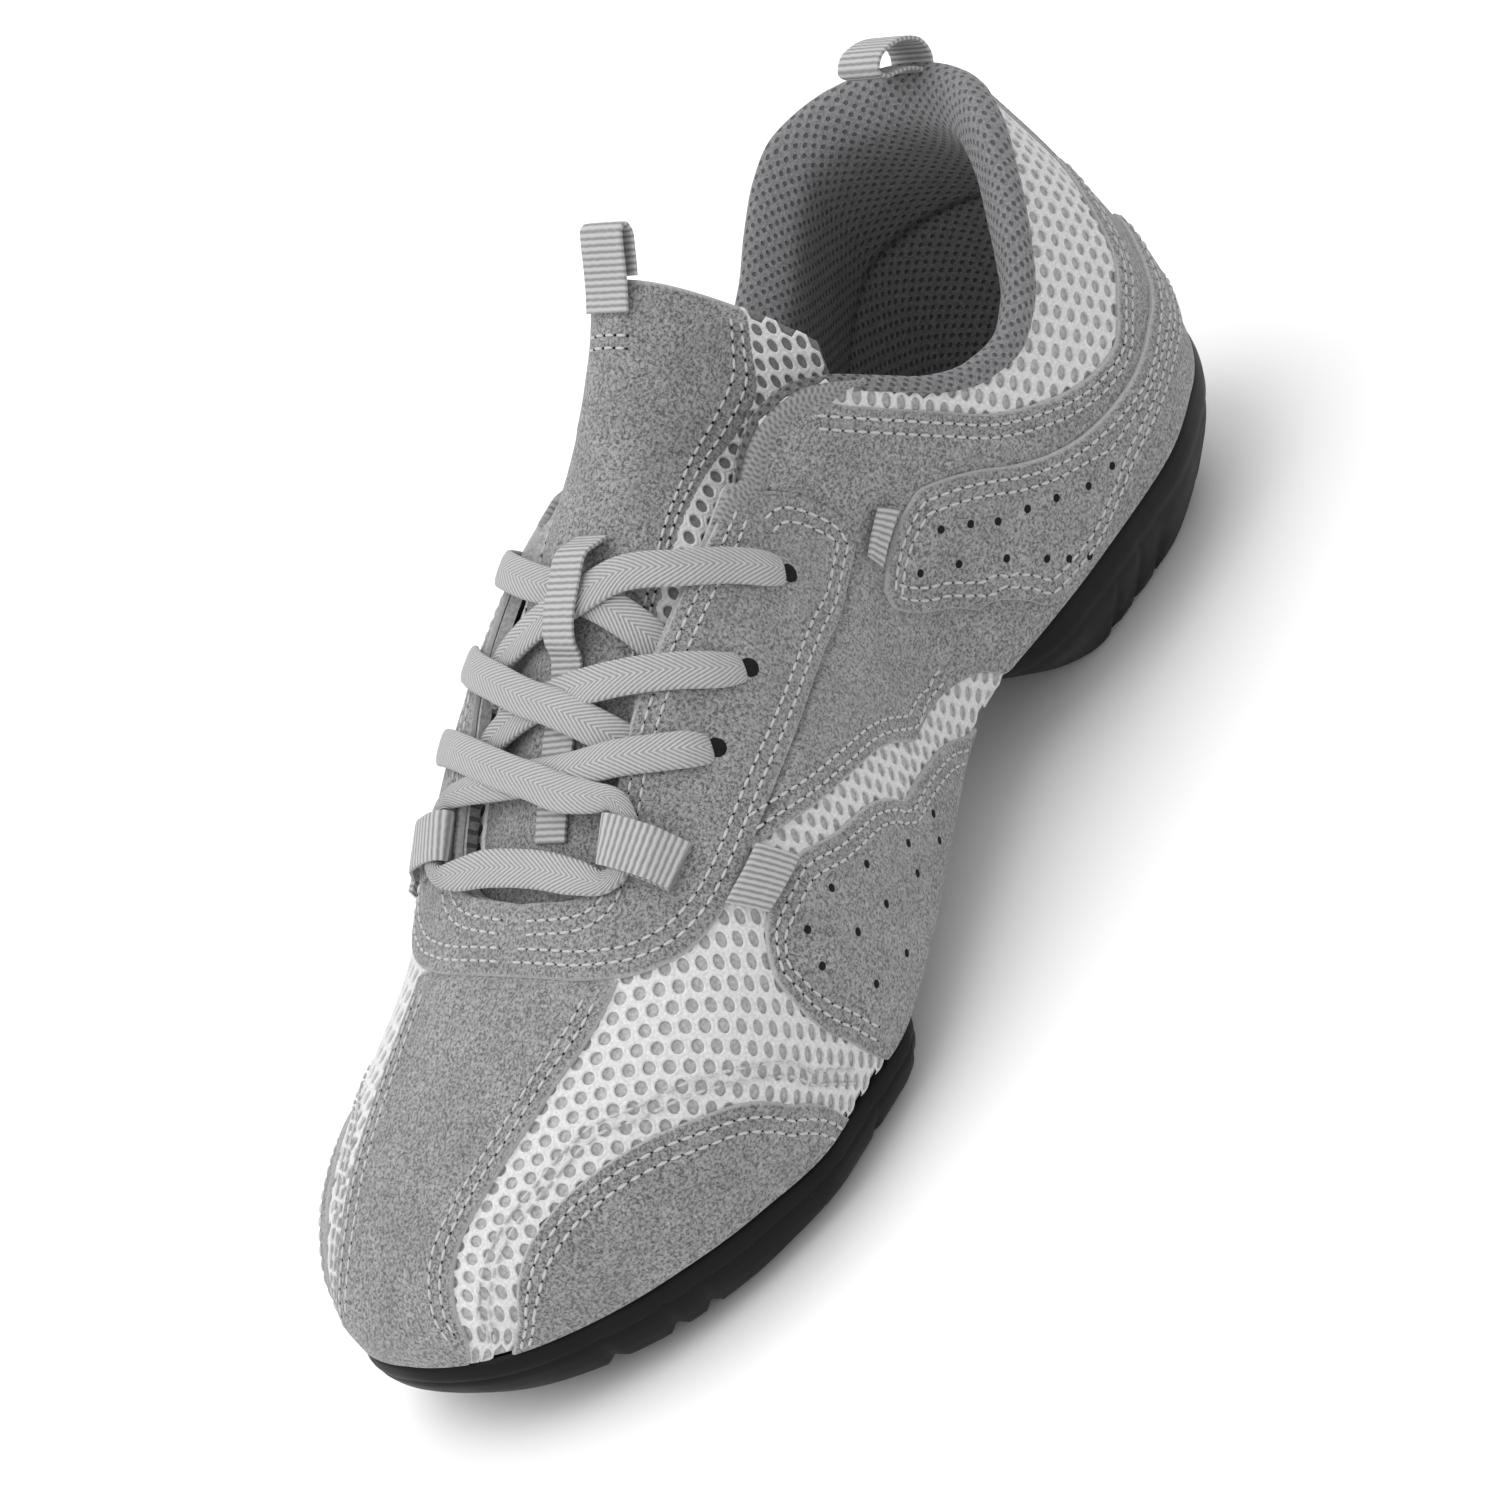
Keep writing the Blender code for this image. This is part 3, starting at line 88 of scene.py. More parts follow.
# The last, one row a station from heel to toe. at: share of LENGTH. centre, lean, bulge: shares of
# BALL_WIDTH. by_heel_w, by_ball_w: shares of HEEL_WIDTH and BALL_WIDTH that add up to the half
# width. by_heel_r, by_ball_r, by_toe_r: shares of the three rises that add up to the feather
# line's height. bulge_up, ridge: shares of RIDGE_HEIGHT.
LAST_COLUMNS = ("at", "centre", "lean", "by_heel_w", "by_ball_w", "by_heel_r", "by_ball_r", "by_toe_r",
                "bulge", "bulge_up", "ridge")
LAST = np.array([
    (0.000, -0.017, -0.070, 0.000, 0.000, 1.08, 0.00, 0.00, 0.006, 0.139, 1.366),
    (0.037, -0.011, -0.070, 0.321, 0.000, 1.06, 0.00, 0.00, 0.017, 0.149, 1.366),
    (0.093, -0.006, -0.070, 0.455, 0.000, 1.02, 0.00, 0.00, 0.022, 0.149, 1.356),
    (0.167, 0.006, -0.070, 0.500, 0.000, 0.98, 0.00, 0.00, 0.022, 0.149, 1.327),
    (0.259, 0.000, -0.060, 0.480, 0.000, 0.96, 0.00, 0.00, 0.022, 0.149, 1.267),
    (0.352, -0.017, -0.050, 0.428, 0.000, 0.92, 0.00, 0.00, 0.018, 0.158, 1.178),
    (0.426, -0.028, -0.040, 0.210, 0.152, 0.65, 0.40, 0.00, 0.018, 0.168, 1.094),
    (0.500, -0.034, -0.030, 0.100, 0.296, 0.40, 0.63, 0.00, 0.029, 0.178, 1.000),
    (0.593, -0.034, -0.020, 0.000, 0.455, 0.10, 0.96, 0.00, 0.034, 0.163, 0.881),
    (0.685, -0.022, -0.006, 0.000, 0.500, 0.00, 1.00, 0.00, 0.028, 0.149, 0.743),
    (0.759, -0.022, 0.006, 0.000, 0.500, 0.00, 1.04, 0.00, 0.022, 0.139, 0.619),
    (0.833, -0.043, 0.000, 0.000, 0.466, 0.00, 0.85, 0.20, 0.020, 0.134, 0.535),
    (0.907, -0.079, 0.000, 0.000, 0.388, 0.00, 0.45, 0.54, 0.016, 0.119, 0.460),
    (0.956, -0.107, 0.000, 0.000, 0.287, 0.00, 0.15, 0.80, 0.011, 0.079, 0.396),
    (0.985, -0.129, 0.000, 0.000, 0.185, 0.00, 0.00, 0.95, 0.007, 0.050, 0.322),
    (1.000, -0.146, 0.000, 0.000, 0.000, 0.00, 0.00, 1.00, 0.006, 0.020, 0.248),
])
SIDE_POWER, TOP_POWER = 2.35, 2.30

# Back seam: up is a share of COLLAR_HEIGHT, forward a share of LENGTH that fades out by BACK_FADE_AT
BACK_COLUMNS = ("up", "forward")
BACK = np.array([(0.00, 0.011), (0.30, 0.004), (0.48, 0.000), (0.71, 0.009), (0.92, 0.024),
                 (1.02, 0.0315), (1.44, 0.033)])
BACK_FADE_AT = 0.26

# Topline: heights as shares of COLLAR_HEIGHT on the lateral and the medial side
TOPLINE_COLUMNS = ("at", "lateral", "medial")
TOPLINE = np.array([
    (0.000, 1.000, 1.000), (0.030, 1.000, 1.000), (0.075, 0.970, 0.985), (0.110, 0.910, 0.945),
    (0.145, 0.840, 0.880), (0.180, 0.765, 0.810), (0.215, 0.730, 0.775), (0.250, 0.750, 0.785),
    (0.280, 0.800, 0.825), (0.310, 0.885, 0.900), (0.335, 0.955, 0.960), (0.360, 0.995, 0.995),
    (0.385, 1.000, 1.000), (0.415, 0.980, 0.980), (0.440, 0.950, 0.950)])

# Throat: half opening as a share of THROAT_WIDTH
THROAT_COLUMNS = ("at", "half")
THROAT = np.array([(0.440, 0.400), (0.490, 0.420), (0.550, 0.410), (0.600, 0.385), (0.650, 0.360),
                   (0.690, 0.350), (0.715, 0.330), (0.727, 0.280), (0.733, 0.180), (0.736, 0.000)])

# Sole sides: down is the share from the feather line to the floor, out a share of the width named
HEEL_SIDE = np.array([(0.00, 0.012), (0.15, 0.015), (0.40, -0.022), (0.65, -0.082), (0.88, -0.145),
                      (1.00, -0.185)])
FORE_SIDE = np.array([(0.00, 0.011), (0.22, 0.020), (0.50, 0.010), (0.78, -0.018), (1.00, -0.062)])

# Underside of the soles off the floor: up is a share of the rise at that end
GROUND_COLUMNS = ("at", "up")
HEEL_GROUND = np.array([(0.000, 0.160), (0.045, 0.050), (0.100, 0.000), (0.260, 0.000), (0.300, 0.030)])
FORE_GROUND = np.array([(0.620, 0.100), (0.665, 0.000), (0.830, 0.000), (0.885, 0.040), (0.946, 0.150),
                        (0.985, 0.280), (1.000, 0.380)])

# Panel edges, each row (at, across): at is a share of LENGTH, across runs from 0 on the ridge to 1
# on the lateral feather line and is negative on the medial side
EYESTAY_OUTER = ((0.446, 0.262), (0.425, 0.285), (0.408, 0.325), (0.399, 0.365), (0.406, 0.392),
                 (0.446, 0.396), (0.494, 0.377), (0.552, 0.353), (0.602, 0.330), (0.655, 0.305),
                 (0.702, 0.288), (0.733, 0.258), (0.753, 0.218), (0.770, 0.160), (0.780, 0.080),
                 (0.782, 0.000))
STRIP_EDGE = ((0.772, 0.158), (0.788, 0.158), (0.814, 0.155), (0.849, 0.140), (0.883, 0.135),
              (0.916, 0.130), (0.943, 0.135), (0.961, 0.155), (0.975, 0.205), (0.985, 0.320),
              (0.990, 0.560), (0.992, 0.900))
STRIP_EDGE_MEDIAL = ((0.772, -0.163), (0.788, -0.165), (0.820, -0.168), (0.851, -0.172),
                     (0.885, -0.175), (0.916, -0.180), (0.943, -0.190), (0.961, -0.215),
                     (0.975, -0.275), (0.985, -0.400), (0.990, -0.620), (0.992, -0.900))
TOE_SIDE_TOP = ((0.744, 0.880), (0.752, 0.700), (0.772, 0.520), (0.799, 0.440), (0.826, 0.395),
                (0.854, 0.345), (0.888, 0.305), (0.913, 0.290), (0.935, 0.300), (0.955, 0.355),
                (0.967, 0.450), (0.975, 0.640), (0.979, 0.880))
TOE_SIDE_LOW = ((0.744, 0.900), (0.780, 0.900), (0.820, 0.900), (0.860, 0.900), (0.900, 0.900),
                (0.930, 0.900), (0.950, 0.900), (0.965, 0.900), (0.979, 0.900))
ARCH_TOP = ((0.415, 0.950), (0.450, 0.700), (0.494, 0.568), (0.552, 0.468), (0.606, 0.415),
            (0.650, 0.362), (0.690, 0.347), (0.710, 0.363), (0.723, 0.400), (0.724, 0.450),
            (0.714, 0.520), (0.702, 0.700), (0.693, 0.840))
ARCH_LOW = ((0.424, 0.972), (0.460, 0.972), (0.520, 0.972), (0.580, 0.972), (0.612, 0.950),
            (0.628, 0.908), (0.660, 0.905), (0.690, 0.905))
QUARTER_LOW = ((0.655, 0.312), (0.602, 0.382), (0.556, 0.428), (0.510, 0.470), (0.460, 0.530),
               (0.417, 0.610), (0.385, 0.720), (0.362, 0.900), (0.300, 0.905), (0.200, 0.905),
               (0.100, 0.905), (0.022, 0.905))
QUARTER_TOP = ((0.648, 0.298), (0.602, 0.322), (0.552, 0.345), (0.494, 0.368), (0.446, 0.385),
               (0.422, 0.372), (0.418, 0.335), (0.432, 0.290), (0.428, 0.266), (0.395, 0.266),
               (0.357, 0.286), (0.338, 0.322), (0.316, 0.358), (0.291, 0.393), (0.264, 0.425),
               (0.237, 0.445), (0.202, 0.463), (0.171, 0.472), (0.143, 0.475), (0.115, 0.468),
               (0.084, 0.458), (0.060, 0.440), (0.040, 0.425), (0.022, 0.415))
REAR_TOP = ((0.413, 0.432), (0.388, 0.420), (0.364, 0.413), (0.344, 0.411), (0.331, 0.418),
            (0.302, 0.438), (0.274, 0.460), (0.247, 0.475), (0.217, 0.485), (0.183, 0.490),
            (0.140, 0.492), (0.095, 0.490), (0.050, 0.480), (0.024, 0.470))
REAR_LOW = ((0.417, 0.446), (0.410, 0.458), (0.398, 0.472), (0.375, 0.489), (0.353, 0.515),
            (0.331, 0.625), (0.310, 0.780), (0.270, 0.800), (0.224, 0.730), (0.192, 0.665),
            (0.150, 0.640), (0.100, 0.630), (0.050, 0.625), (0.024, 0.620))
EYESTAY_INNER_AT = (0.4455, 0.447, 0.452, 0.460, 0.470, 0.490, 0.525, 0.570, 0.612, 0.655, 0.692,
                    0.714, 0.725, 0.732, 0.735, 0.736)
STRIP_MIDDLE = ((0.772, 0.000), (0.840, 0.000), (0.880, 0.000), (0.920, 0.000), (0.955, 0.000),
                (0.978, 0.000), (0.992, 0.000), (1.000, 0.150), (1.000, 0.500), (1.000, 0.905))
BACKSTAY_AT = (0.013, 0.0213)      # half width of the backstay at its top and foot, as a station
FRONT_TAB = ((0.658, 0.305), (0.702, 0.285), (0.647, 0.363), (0.691, 0.343))
REAR_TAB = ((0.375, 0.388), (0.408, 0.400), (0.364, 0.405), (0.404, 0.417))

# Padded collar: thickness along the topline, as a share of PAD_THICK
PAD_COLUMNS = ("at", "thick")
PAD = np.array([(0.00, 1.00), (0.17, 1.00), (0.24, 0.70), (0.30, 0.38), (0.44, 0.35)])

# Tongue along its middle: half width as a share of THROAT_WIDTH, lift off the last as a share of
# TONGUE_THICK at the middle and at the edge, sweep back of the edges as a share of LENGTH
TONGUE_COLUMNS = ("at", "half", "lift", "edge_lift", "sweep")
TONGUE = np.array([
    (0.350, 0.490, 1.30, -0.80, 0.036), (0.364, 0.535, 1.05, -1.20, 0.036),
    (0.384, 0.575, 0.75, -1.15, 0.034), (0.412, 0.555, 0.50, -1.15, 0.030),
    (0.442, 0.520, 0.25, -1.00, 0.014), (0.500, 0.500, -0.05, -0.56, 0.000),
    (0.580, 0.500, -0.20, -0.56, 0.000), (0.660, 0.480, -0.30, -0.56, 0.000),
    (0.725, 0.440, -0.56, -0.56, 0.000)])

ACROSS_LENGTH = 0.125              # length over the skin that one unit of across stands for

# Webbing loops: paths of (across, lift) for the lace loops and (x, z) in metres for the others
LACE_LOOP_AT = 0.695
LACE_LOOP_PATH = ((0.218, 0.0026), (0.190, 0.0026), (0.150, 0.0026), (0.130, 0.0026), (0.117, 0.0030),
                  (0.111, 0.0042), (0.117, 0.0056), (0.130, 0.0061), (0.155, 0.0062), (0.180, 0.0060),
                  (0.200, 0.0047), (0.216, 0.0038))
HEEL_LOOP_WIDTH = 0.0105
HEEL_LOOP_PATH = ((0.0004, 0.0005), (-0.0014, 0.0034), (-0.0010, 0.0070), (0.0018, 0.0100), (0.0060, 0.0120),
                  (0.0100, 0.0124), (0.0122, 0.0108), (0.0112, 0.0088), (0.0080, 0.0070), (0.0046, 0.0048),
                  (0.0020, 0.0020))
TONGUE_LOOP_AT = 0.372
TONGUE_LOOP_PATH = ((0.0000, 0.0000), (-0.0028, 0.0030), (-0.0060, 0.0070), (-0.0086, 0.0104),
                    (-0.0100, 0.0118), (-0.0114, 0.0116), (-0.0116, 0.0100), (-0.0096, 0.0068),
                    (-0.0066, 0.0030))
KEEPER_WIDTH = 0.0076
KEEPER_Y = 0.0035
KEEPER_ROWS = ((0.512, 0.0000), (0.519, 0.0022), (0.527, 0.0046), (0.548, 0.0050), (0.570, 0.0046),
               (0.582, 0.0032), (0.590, 0.0006), (0.596, 0.0000), (0.650, 0.0000), (0.700, 0.0000))


def smooth(xs, ys, x):
    """Read a table as a smooth curve that never overshoots its rows."""
    xs, ys = np.asarray(xs, float), np.asarray(ys, float)
    x = np.clip(x, xs[0], xs[-1])
    step = np.diff(xs)
    rise = np.diff(ys) / step
    slope = np.zeros_like(ys)
    same = rise[:-1] * rise[1:] > 0
    before, after = 2 * step[1:] + step[:-1], step[1:] + 2 * step[:-1]
    first, second = np.where(same, rise[:-1], 1.0), np.where(same, rise[1:], 1.0)
    slope[1:-1] = np.where(same, (before + after) / (before / first + after / second), 0.0)
    slope[0], slope[-1] = rise[0], rise[-1]
    k = np.clip(np.searchsorted(xs, x, side="right") - 1, 0, len(xs) - 2)
    t = (x - xs[k]) / step[k]
    return (ys[k] * (1 + 2 * t) * (1 - t) ** 2 + slope[k] * step[k] * t * (1 - t) ** 2
            + ys[k + 1] * t * t * (3 - 2 * t) + slope[k + 1] * step[k] * t * t * (t - 1))


def read(table, columns, name, at):
    """One named column of a table, read at a station or height."""
    return smooth(table[:, 0], table[:, columns.index(name)], at)


def bow(at):
    """Spread stations so that the rounded heel and toe close like a circle."""
    return np.arccos(1 - 2 * np.clip(at, 0, 1)) / math.pi


def unbow(q):
    return (1 - np.cos(math.pi * np.asarray(q, float))) / 2


def last(name, at):
    return smooth(bow(LAST[:, 0]), LAST[:, LAST_COLUMNS.index(name)], bow(at))


def half_width(at):
    return HEEL_WIDTH * last("by_heel_w", at) + BALL_WIDTH * last("by_ball_w", at)


def feather(at):
    """Height of the feather line, where the upper meets its sole."""
    return (HEEL_RISE * last("by_heel_r", at) + BALL_RISE * last("by_ball_r", at)
            + TOE_RISE * last("by_toe_r", at))


def station_x(at):
    return LENGTH * (np.asarray(at, float) - HEEL_REST_AT)


def back_shift(at, z):
    forward = LENGTH * read(BACK, BACK_COLUMNS, "forward", z / COLLAR_HEIGHT)
    return forward * np.clip(1 - at / BACK_FADE_AT, 0, 1) ** 1.5


def skin(at, across):
    """A point of the upper's outside: across is 0 on the ridge, 1 lateral, -1 medial feather."""
    at, across = np.broadcast_arrays(np.asarray(at, float), np.asarray(across, float))
    side = np.where(across < 0, -1.0, 1.0)
    down = np.clip(np.abs(across), 0, 1) * 2
    half, foot = half_width(at), feather(at)
    bulge = BALL_WIDTH * last("bulge", at) * np.clip(half / (BALL_WIDTH * 0.22), 0, 1)
    lift, top = RIDGE_HEIGHT * last("bulge_up", at), RIDGE_HEIGHT * last("ridge", at)
    turn = np.clip(1 - down, 0, 1) * math.pi / 2
    y_high = (half + bulge) * np.cos(turn) ** (2 / SIDE_POWER)
    z_high = foot + lift + (top - foot - lift) * np.sin(turn) ** (2 / TOP_POWER)
    roll = np.clip(2 - down, 0, 1) * math.pi / 2
    y_low = half + bulge * np.sin(roll)
    z_low = foot + lift * (1 - np.cos(roll))
    y, z = np.where(down > 1, y_low, y_high), np.where(down > 1, z_low, z_high)
    middle = BALL_WIDTH * (last("centre", at) + last("lean", at) * (z - foot) / (top - foot))
    return np.stack([station_x(at) + back_shift(at, z), middle + side * y, z], -1)


def outward(at, across):
    """Unit normal of the skin."""
    q, across = np.broadcast_arrays(bow(at), np.asarray(across, float))
    dq, da = 0.004, 0.006
    tip = (q < dq) | (q > 1 - dq)
    across = np.where(tip & (np.abs(across) < 2 * da), 2 * da, across)
    along = (skin(unbow(np.minimum(q + dq, 1)), across) - skin(unbow(np.maximum(q - dq, 0)), across))
    over = (skin(unbow(q), np.minimum(across + da, 1)) - skin(unbow(q), np.maximum(across - da, -1)))
    normal = np.cross(along, over)
    return normal / np.linalg.norm(normal, axis=-1, keepdims=True)


def across_at_height(at, z):
    """Where the skin reaches a height, above the bulge."""
    low = feather(at) + RIDGE_HEIGHT * last("bulge_up", at)
    rise = np.clip((z - low) / (RIDGE_HEIGHT * last("ridge", at) - low), 0, 1)
    return (1 - np.arcsin(rise ** (TOP_POWER / 2)) / (math.pi / 2)) / 2


def across_at_half(at, half):
    """Where the skin is a given distance from its middle, above the bulge."""
    wide = half_width(at) + BALL_WIDTH * last("bulge", at)
    share = np.clip(half / wide, 0, 1)
    return (1 - np.arccos(share ** (SIDE_POWER / 2)) / (math.pi / 2)) / 2


def rim(at, side):
    """Across value of the upper's free edge: topline, then throat, then closed on the ridge."""
    at = np.asarray(at, float)
    height = COLLAR_HEIGHT * read(TOPLINE, TOPLINE_COLUMNS, "lateral" if side > 0 else "medial", at)
    collar = across_at_height(at, height)
    throat = across_at_half(at, THROAT_WIDTH * read(THROAT, THROAT_COLUMNS, "half", at))
    return np.where(at >= THROAT_END_AT, 0.0, np.where(at > COLLAR_CORNER_AT, throat, collar))


def trace(rows, count):
    """Even steps along an edge given by (at, across) rows."""
    spread, across = bow([row[0] for row in rows]), np.array([row[1] for row in rows])
    leg = np.hypot(np.diff(spread), np.diff(across) * 0.3)
    run = np.concatenate([[0], np.cumsum(leg)]) / leg.sum()
    t = np.linspace(0, 1, count)
    return np.stack([unbow(smooth(run, spread, t)), smooth(run, across, t)], -1)


def mirrored(rows):
    return tuple((at, -across) for at, across in rows)


BELLY_RISE = 0.0015


def belly(at):
    """The covered arch rounds down a little between the two soles."""
    run = (at - HEEL_CUT_AT[0] - 0.012) / (FORE_CUT_AT[0] - HEEL_CUT_AT[0] - 0.024)
    return BELLY_RISE * math.sin(math.pi * min(max(run, 0), 1)) ** 2


def outline(at, side, out):
    """The feather outline seen from above, moved outward; one shared point at each tip."""
    q = float(bow(at))
    ends = [unbow(max(q - 0.004, 0)), unbow(min(q + 0.004, 1))]
    edge = [np.array([station_x(a), BALL_WIDTH * last("centre", a) + side * half_width(a)]) for a in ends]
    run = edge[1] - edge[0]
    normal = np.array([-run[1], run[0]]) * side / np.linalg.norm(run)
    if at in (0.0, 1.0):
        normal = np.array([-1.0 if at == 0.0 else 1.0, 0.0])
    here = np.array([station_x(at), BALL_WIDTH * last("centre", at) + side * half_width(at)])
    return here + normal * out


def groove(at, grooves):
    """Depth of the cross grooves under the sole at a station."""
    half = GROOVE_HALF / LENGTH
    return GROOVE_DEPTH * max([max(0.0, 1 - abs(at - g) / half) for g in grooves])


# Layers over the last, in metres from its skin
MESH_HIGH = 0.0007
SUEDE_LOW, SUEDE_HIGH = 0.0002, 0.0016
UPPER_LOW, UPPER_HIGH = 0.0012, 0.0029
MESH_SEAM_HIGH = 0.0010
TAB_LOW, TAB_HIGH = 0.0029, 0.0038
TUCKED_HIGH = 0.0006       # suede skived thin where the eyestay covers it

# Camera: lens in mm, place in metres, and its right, down and ahead directions
CAMERA_LENS = 158.915
CAMERA_AT = Vector((0.713476, 0.849182, 0.704794))
CAMERA_AXES = ((-0.475272, 0.728236, -0.493750), (0.727099, 0.009096, -0.686473),
               (-0.495423, -0.685266, -0.533823))

# Lights: place, watts and width in metres; all look at the middle of the shoe
LIGHTS = {"key": ((0.70, -0.45, 1.45), 23.0, 2.0), "fill": ((1.2, 0.9, 0.7), 3.0, 1.2),
          "back": ((-0.9, -0.3, 1.1), 5.0, 1.0)}
LIT_POINT = Vector((0.09, 0, 0.04))
WORLD_LIGHT = 0.73
FLOOR_HALF = 6.0


# Surfaces as grids

def frame_at(at, across):
    """Skin points and unit normals; the tips take the mean of both sides."""
    at, across = np.broadcast_arrays(np.asarray(at, float), np.asarray(across, float))
    base, normal = skin(at, across), outward(at, across)
    tip = (at < 1e-6) | (at > 1 - 1e-6)
    normal = np.where(tip[..., None], normal + outward(at, -across), normal)
    normal[..., 2] = np.maximum(normal[..., 2], -0.25)
    return base, normal / np.linalg.norm(normal, axis=-1, keepdims=True)


def lengths(points, axis):
    """Running length along one axis of a grid of points."""
    step = np.linalg.norm(np.diff(points, axis=axis), axis=-1)
    pad = [(0, 0), (0, 0)]
    pad[axis] = (1, 0)
    return np.pad(np.cumsum(step, axis=axis), pad)


def from_border(points, closed=False):
    """Distance of each grid point from the grid's border."""
    v = lengths(points, 1)
    near = np.minimum(v, v[:, -1:] - v)
    if not closed:
        u = lengths(points, 0)
        near = np.minimum(near, np.minimum(u, u[-1:] - u))
    return near


def mesh_object(name, verts, faces, material, uv=None, values=None, smooth_angle=50):
    """A mesh object from arrays; faces is one array of quads or a list of rings."""
    mesh = bpy.data.meshes.new(name)
    rings = faces.tolist() if isinstance(faces, np.ndarray) else faces
    mesh.from_pydata(np.asarray(verts).tolist(), [], rings)
    for key, field in (values or {}).items():
        layer = mesh.attributes.new(key, "FLOAT", "POINT")
        layer.data.foreach_set("value", np.asarray(field, np.float32).ravel())
    if uv is not None:
        spot = np.empty(len(mesh.loops), np.int32)
        mesh.loops.foreach_get("vertex_index", spot)
        layer = mesh.uv_layers.new(name="UVMap")
        layer.data.foreach_set("uv", np.asarray(uv, np.float32)[spot].ravel())
    work = bmesh.new()
    work.from_mesh(mesh)
    bmesh.ops.remove_doubles(work, verts=work.verts, dist=2e-6)
    bmesh.ops.dissolve_degenerate(work, edges=work.edges, dist=1e-6)
    bmesh.ops.recalc_face_normals(work, faces=work.faces)
    work.to_mesh(mesh)
    work.free()
    mesh.shade_smooth()
    mesh.set_sharp_from_angle(angle=math.radians(smooth_angle))
    piece = bpy.data.objects.new(name, mesh)
    bpy.context.scene.collection.objects.link(piece)
    if isinstance(material, (list, tuple)):
        for one in material:
            mesh.materials.append(one)
    else:
        mesh.materials.append(material)
    return piece


def shell_faces(rows, columns, wrap=False):
    """Quads of a two-sided grid with its rim closed; wrap joins the last row to the first."""
    count = rows * columns
    index = np.arange(count).reshape(rows, columns)
    if wrap:
        index = np.vstack([index, index[:1]])
    a, b, c, d = index[:-1, :-1], index[1:, :-1], index[1:, 1:], index[:-1, 1:]
    top = np.stack([a, b, c, d], -1).reshape(-1, 4)
    rims = [index[:, 0], index[::-1, -1]]
    if not wrap:
        rims += [index[0, ::-1], index[-1, :]]
    sides = [np.stack([r[1:], r[:-1], r[:-1] + count, r[1:] + count], -1) for r in rims]
    return np.concatenate([top, top[:, ::-1] + count] + sides)


def shell(name, outer, inner, material, wrap=False, angle=50):
    """A closed piece between two grids of points, with a UV map in metres and its edge distance."""
    u, v = lengths(outer, 0), lengths(outer, 1)
    u = np.repeat(u[:, outer.shape[1] // 2:outer.shape[1] // 2 + 1], outer.shape[1], 1)
    v = v - v[:, outer.shape[1] // 2:outer.shape[1] // 2 + 1]
    near = from_border(outer, wrap)
    uv = np.stack([u, v], -1).reshape(-1, 2)
    verts = np.concatenate([outer.reshape(-1, 3), inner.reshape(-1, 3)])
    return mesh_object(name, verts, shell_faces(*outer.shape[:2], wrap), material, np.concatenate([uv, uv]),
                       {"edge": np.concatenate([near.ravel(), near.ravel() * 0])}, angle)


def crowded(width, count, rim=(0.0, 0.0003, 0.0008)):
    """Shares 0 to 1 across widths, with extra lines close to both ends."""
    width = np.maximum(np.asarray(width, float), 1e-4)[..., None]
    first = np.minimum(np.array(rim) / width, np.linspace(0, 0.3, len(rim)))
    start = first[..., -1:]
    middle = start + (1 - 2 * start) * np.linspace(0, 1, count + 1)[1:-1]
    return np.concatenate([first, middle, 1 - first[..., ::-1]], -1)


def rounded(near, low, high, radius=0.0007):
    """Height of a cut layer that rounds over at its edge."""
    t = np.clip(near / radius, 0, 1)
    return low + (high - low) * (0.55 + 0.45 * np.sqrt(1 - (1 - t) ** 2))


def layer(name, at, across, material, low, high, tucked=False):
    """A cut layer of suede or webbing through a grid of (at, across)."""
    base, normal = frame_at(at, across)
    height = rounded(from_border(base), low, high)
    if tucked:
        side = 1 if np.mean(across) >= -0.02 else -1
        spots = flat(at, np.abs(across)).reshape(-1, 2)
        depth = inside_outline(spots, eyestay_outline(side)).reshape(at.shape)
        t = np.clip((depth + 0.0010) / 0.0010, 0, 1)
        height = height + (np.minimum(height, TUCKED_HIGH) - height) * t * t * (3 - 2 * t)
    return shell(name, base + normal * height[..., None], base + normal * low, material)


def ruled(name, edge_a, edge_b, along, over, material, low=SUEDE_LOW, high=SUEDE_HIGH, tucked=False):
    """A cut layer ruled between two edges of (at, across) rows."""
    first, second = trace(edge_a, 201), trace(edge_b, 201)
    span = np.linalg.norm(skin(first[:, 0], first[:, 1]) - skin(second[:, 0], second[:, 1]), axis=-1)
    run = lengths(skin(first[:, 0], first[:, 1])[:, None], 0)[-1, 0]
    t = crowded(np.array(run), along)
    even = np.linspace(0, 1, 201)
    start, end = (np.stack([np.interp(t, even, edge[:, k]) for k in (0, 1)], -1) for edge in (first, second))
    s = crowded(np.interp(t, even, span), over)[..., None]
    grid = start[:, None, :] * (1 - s) + end[:, None, :] * s
    return layer(name, grid[..., 0], grid[..., 1], material, low, high, tucked)


# Half width of the opening in front of the ankle, for the tongue to lie in
FREE_AT = np.linspace(0.2, 0.715, 200)
FREE_HALF = skin(FREE_AT, rim(FREE_AT, 1))[:, 1] - skin(FREE_AT, 0.0)[:, 1]


def dress(piece, *nodes, slot=None):
    """Put a finished piece on the shoe in place of its solids."""
    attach(piece, "root")
    if nodes:
        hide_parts(*nodes)


# Finishes

def colour(text):
    """sRGB hex to linear RGBA."""
    rgb = [int(text[i:i + 2], 16) / 255 for i in (1, 3, 5)]
    return tuple(c / 12.92 if c <= 0.04045 else ((c + 0.055) / 1.055) ** 2.4 for c in rgb) + (1.0,)


def darker(shade, share):
    """A shade with its light cut to a share."""
    return tuple(c * share for c in shade[:3]) + (1.0,)


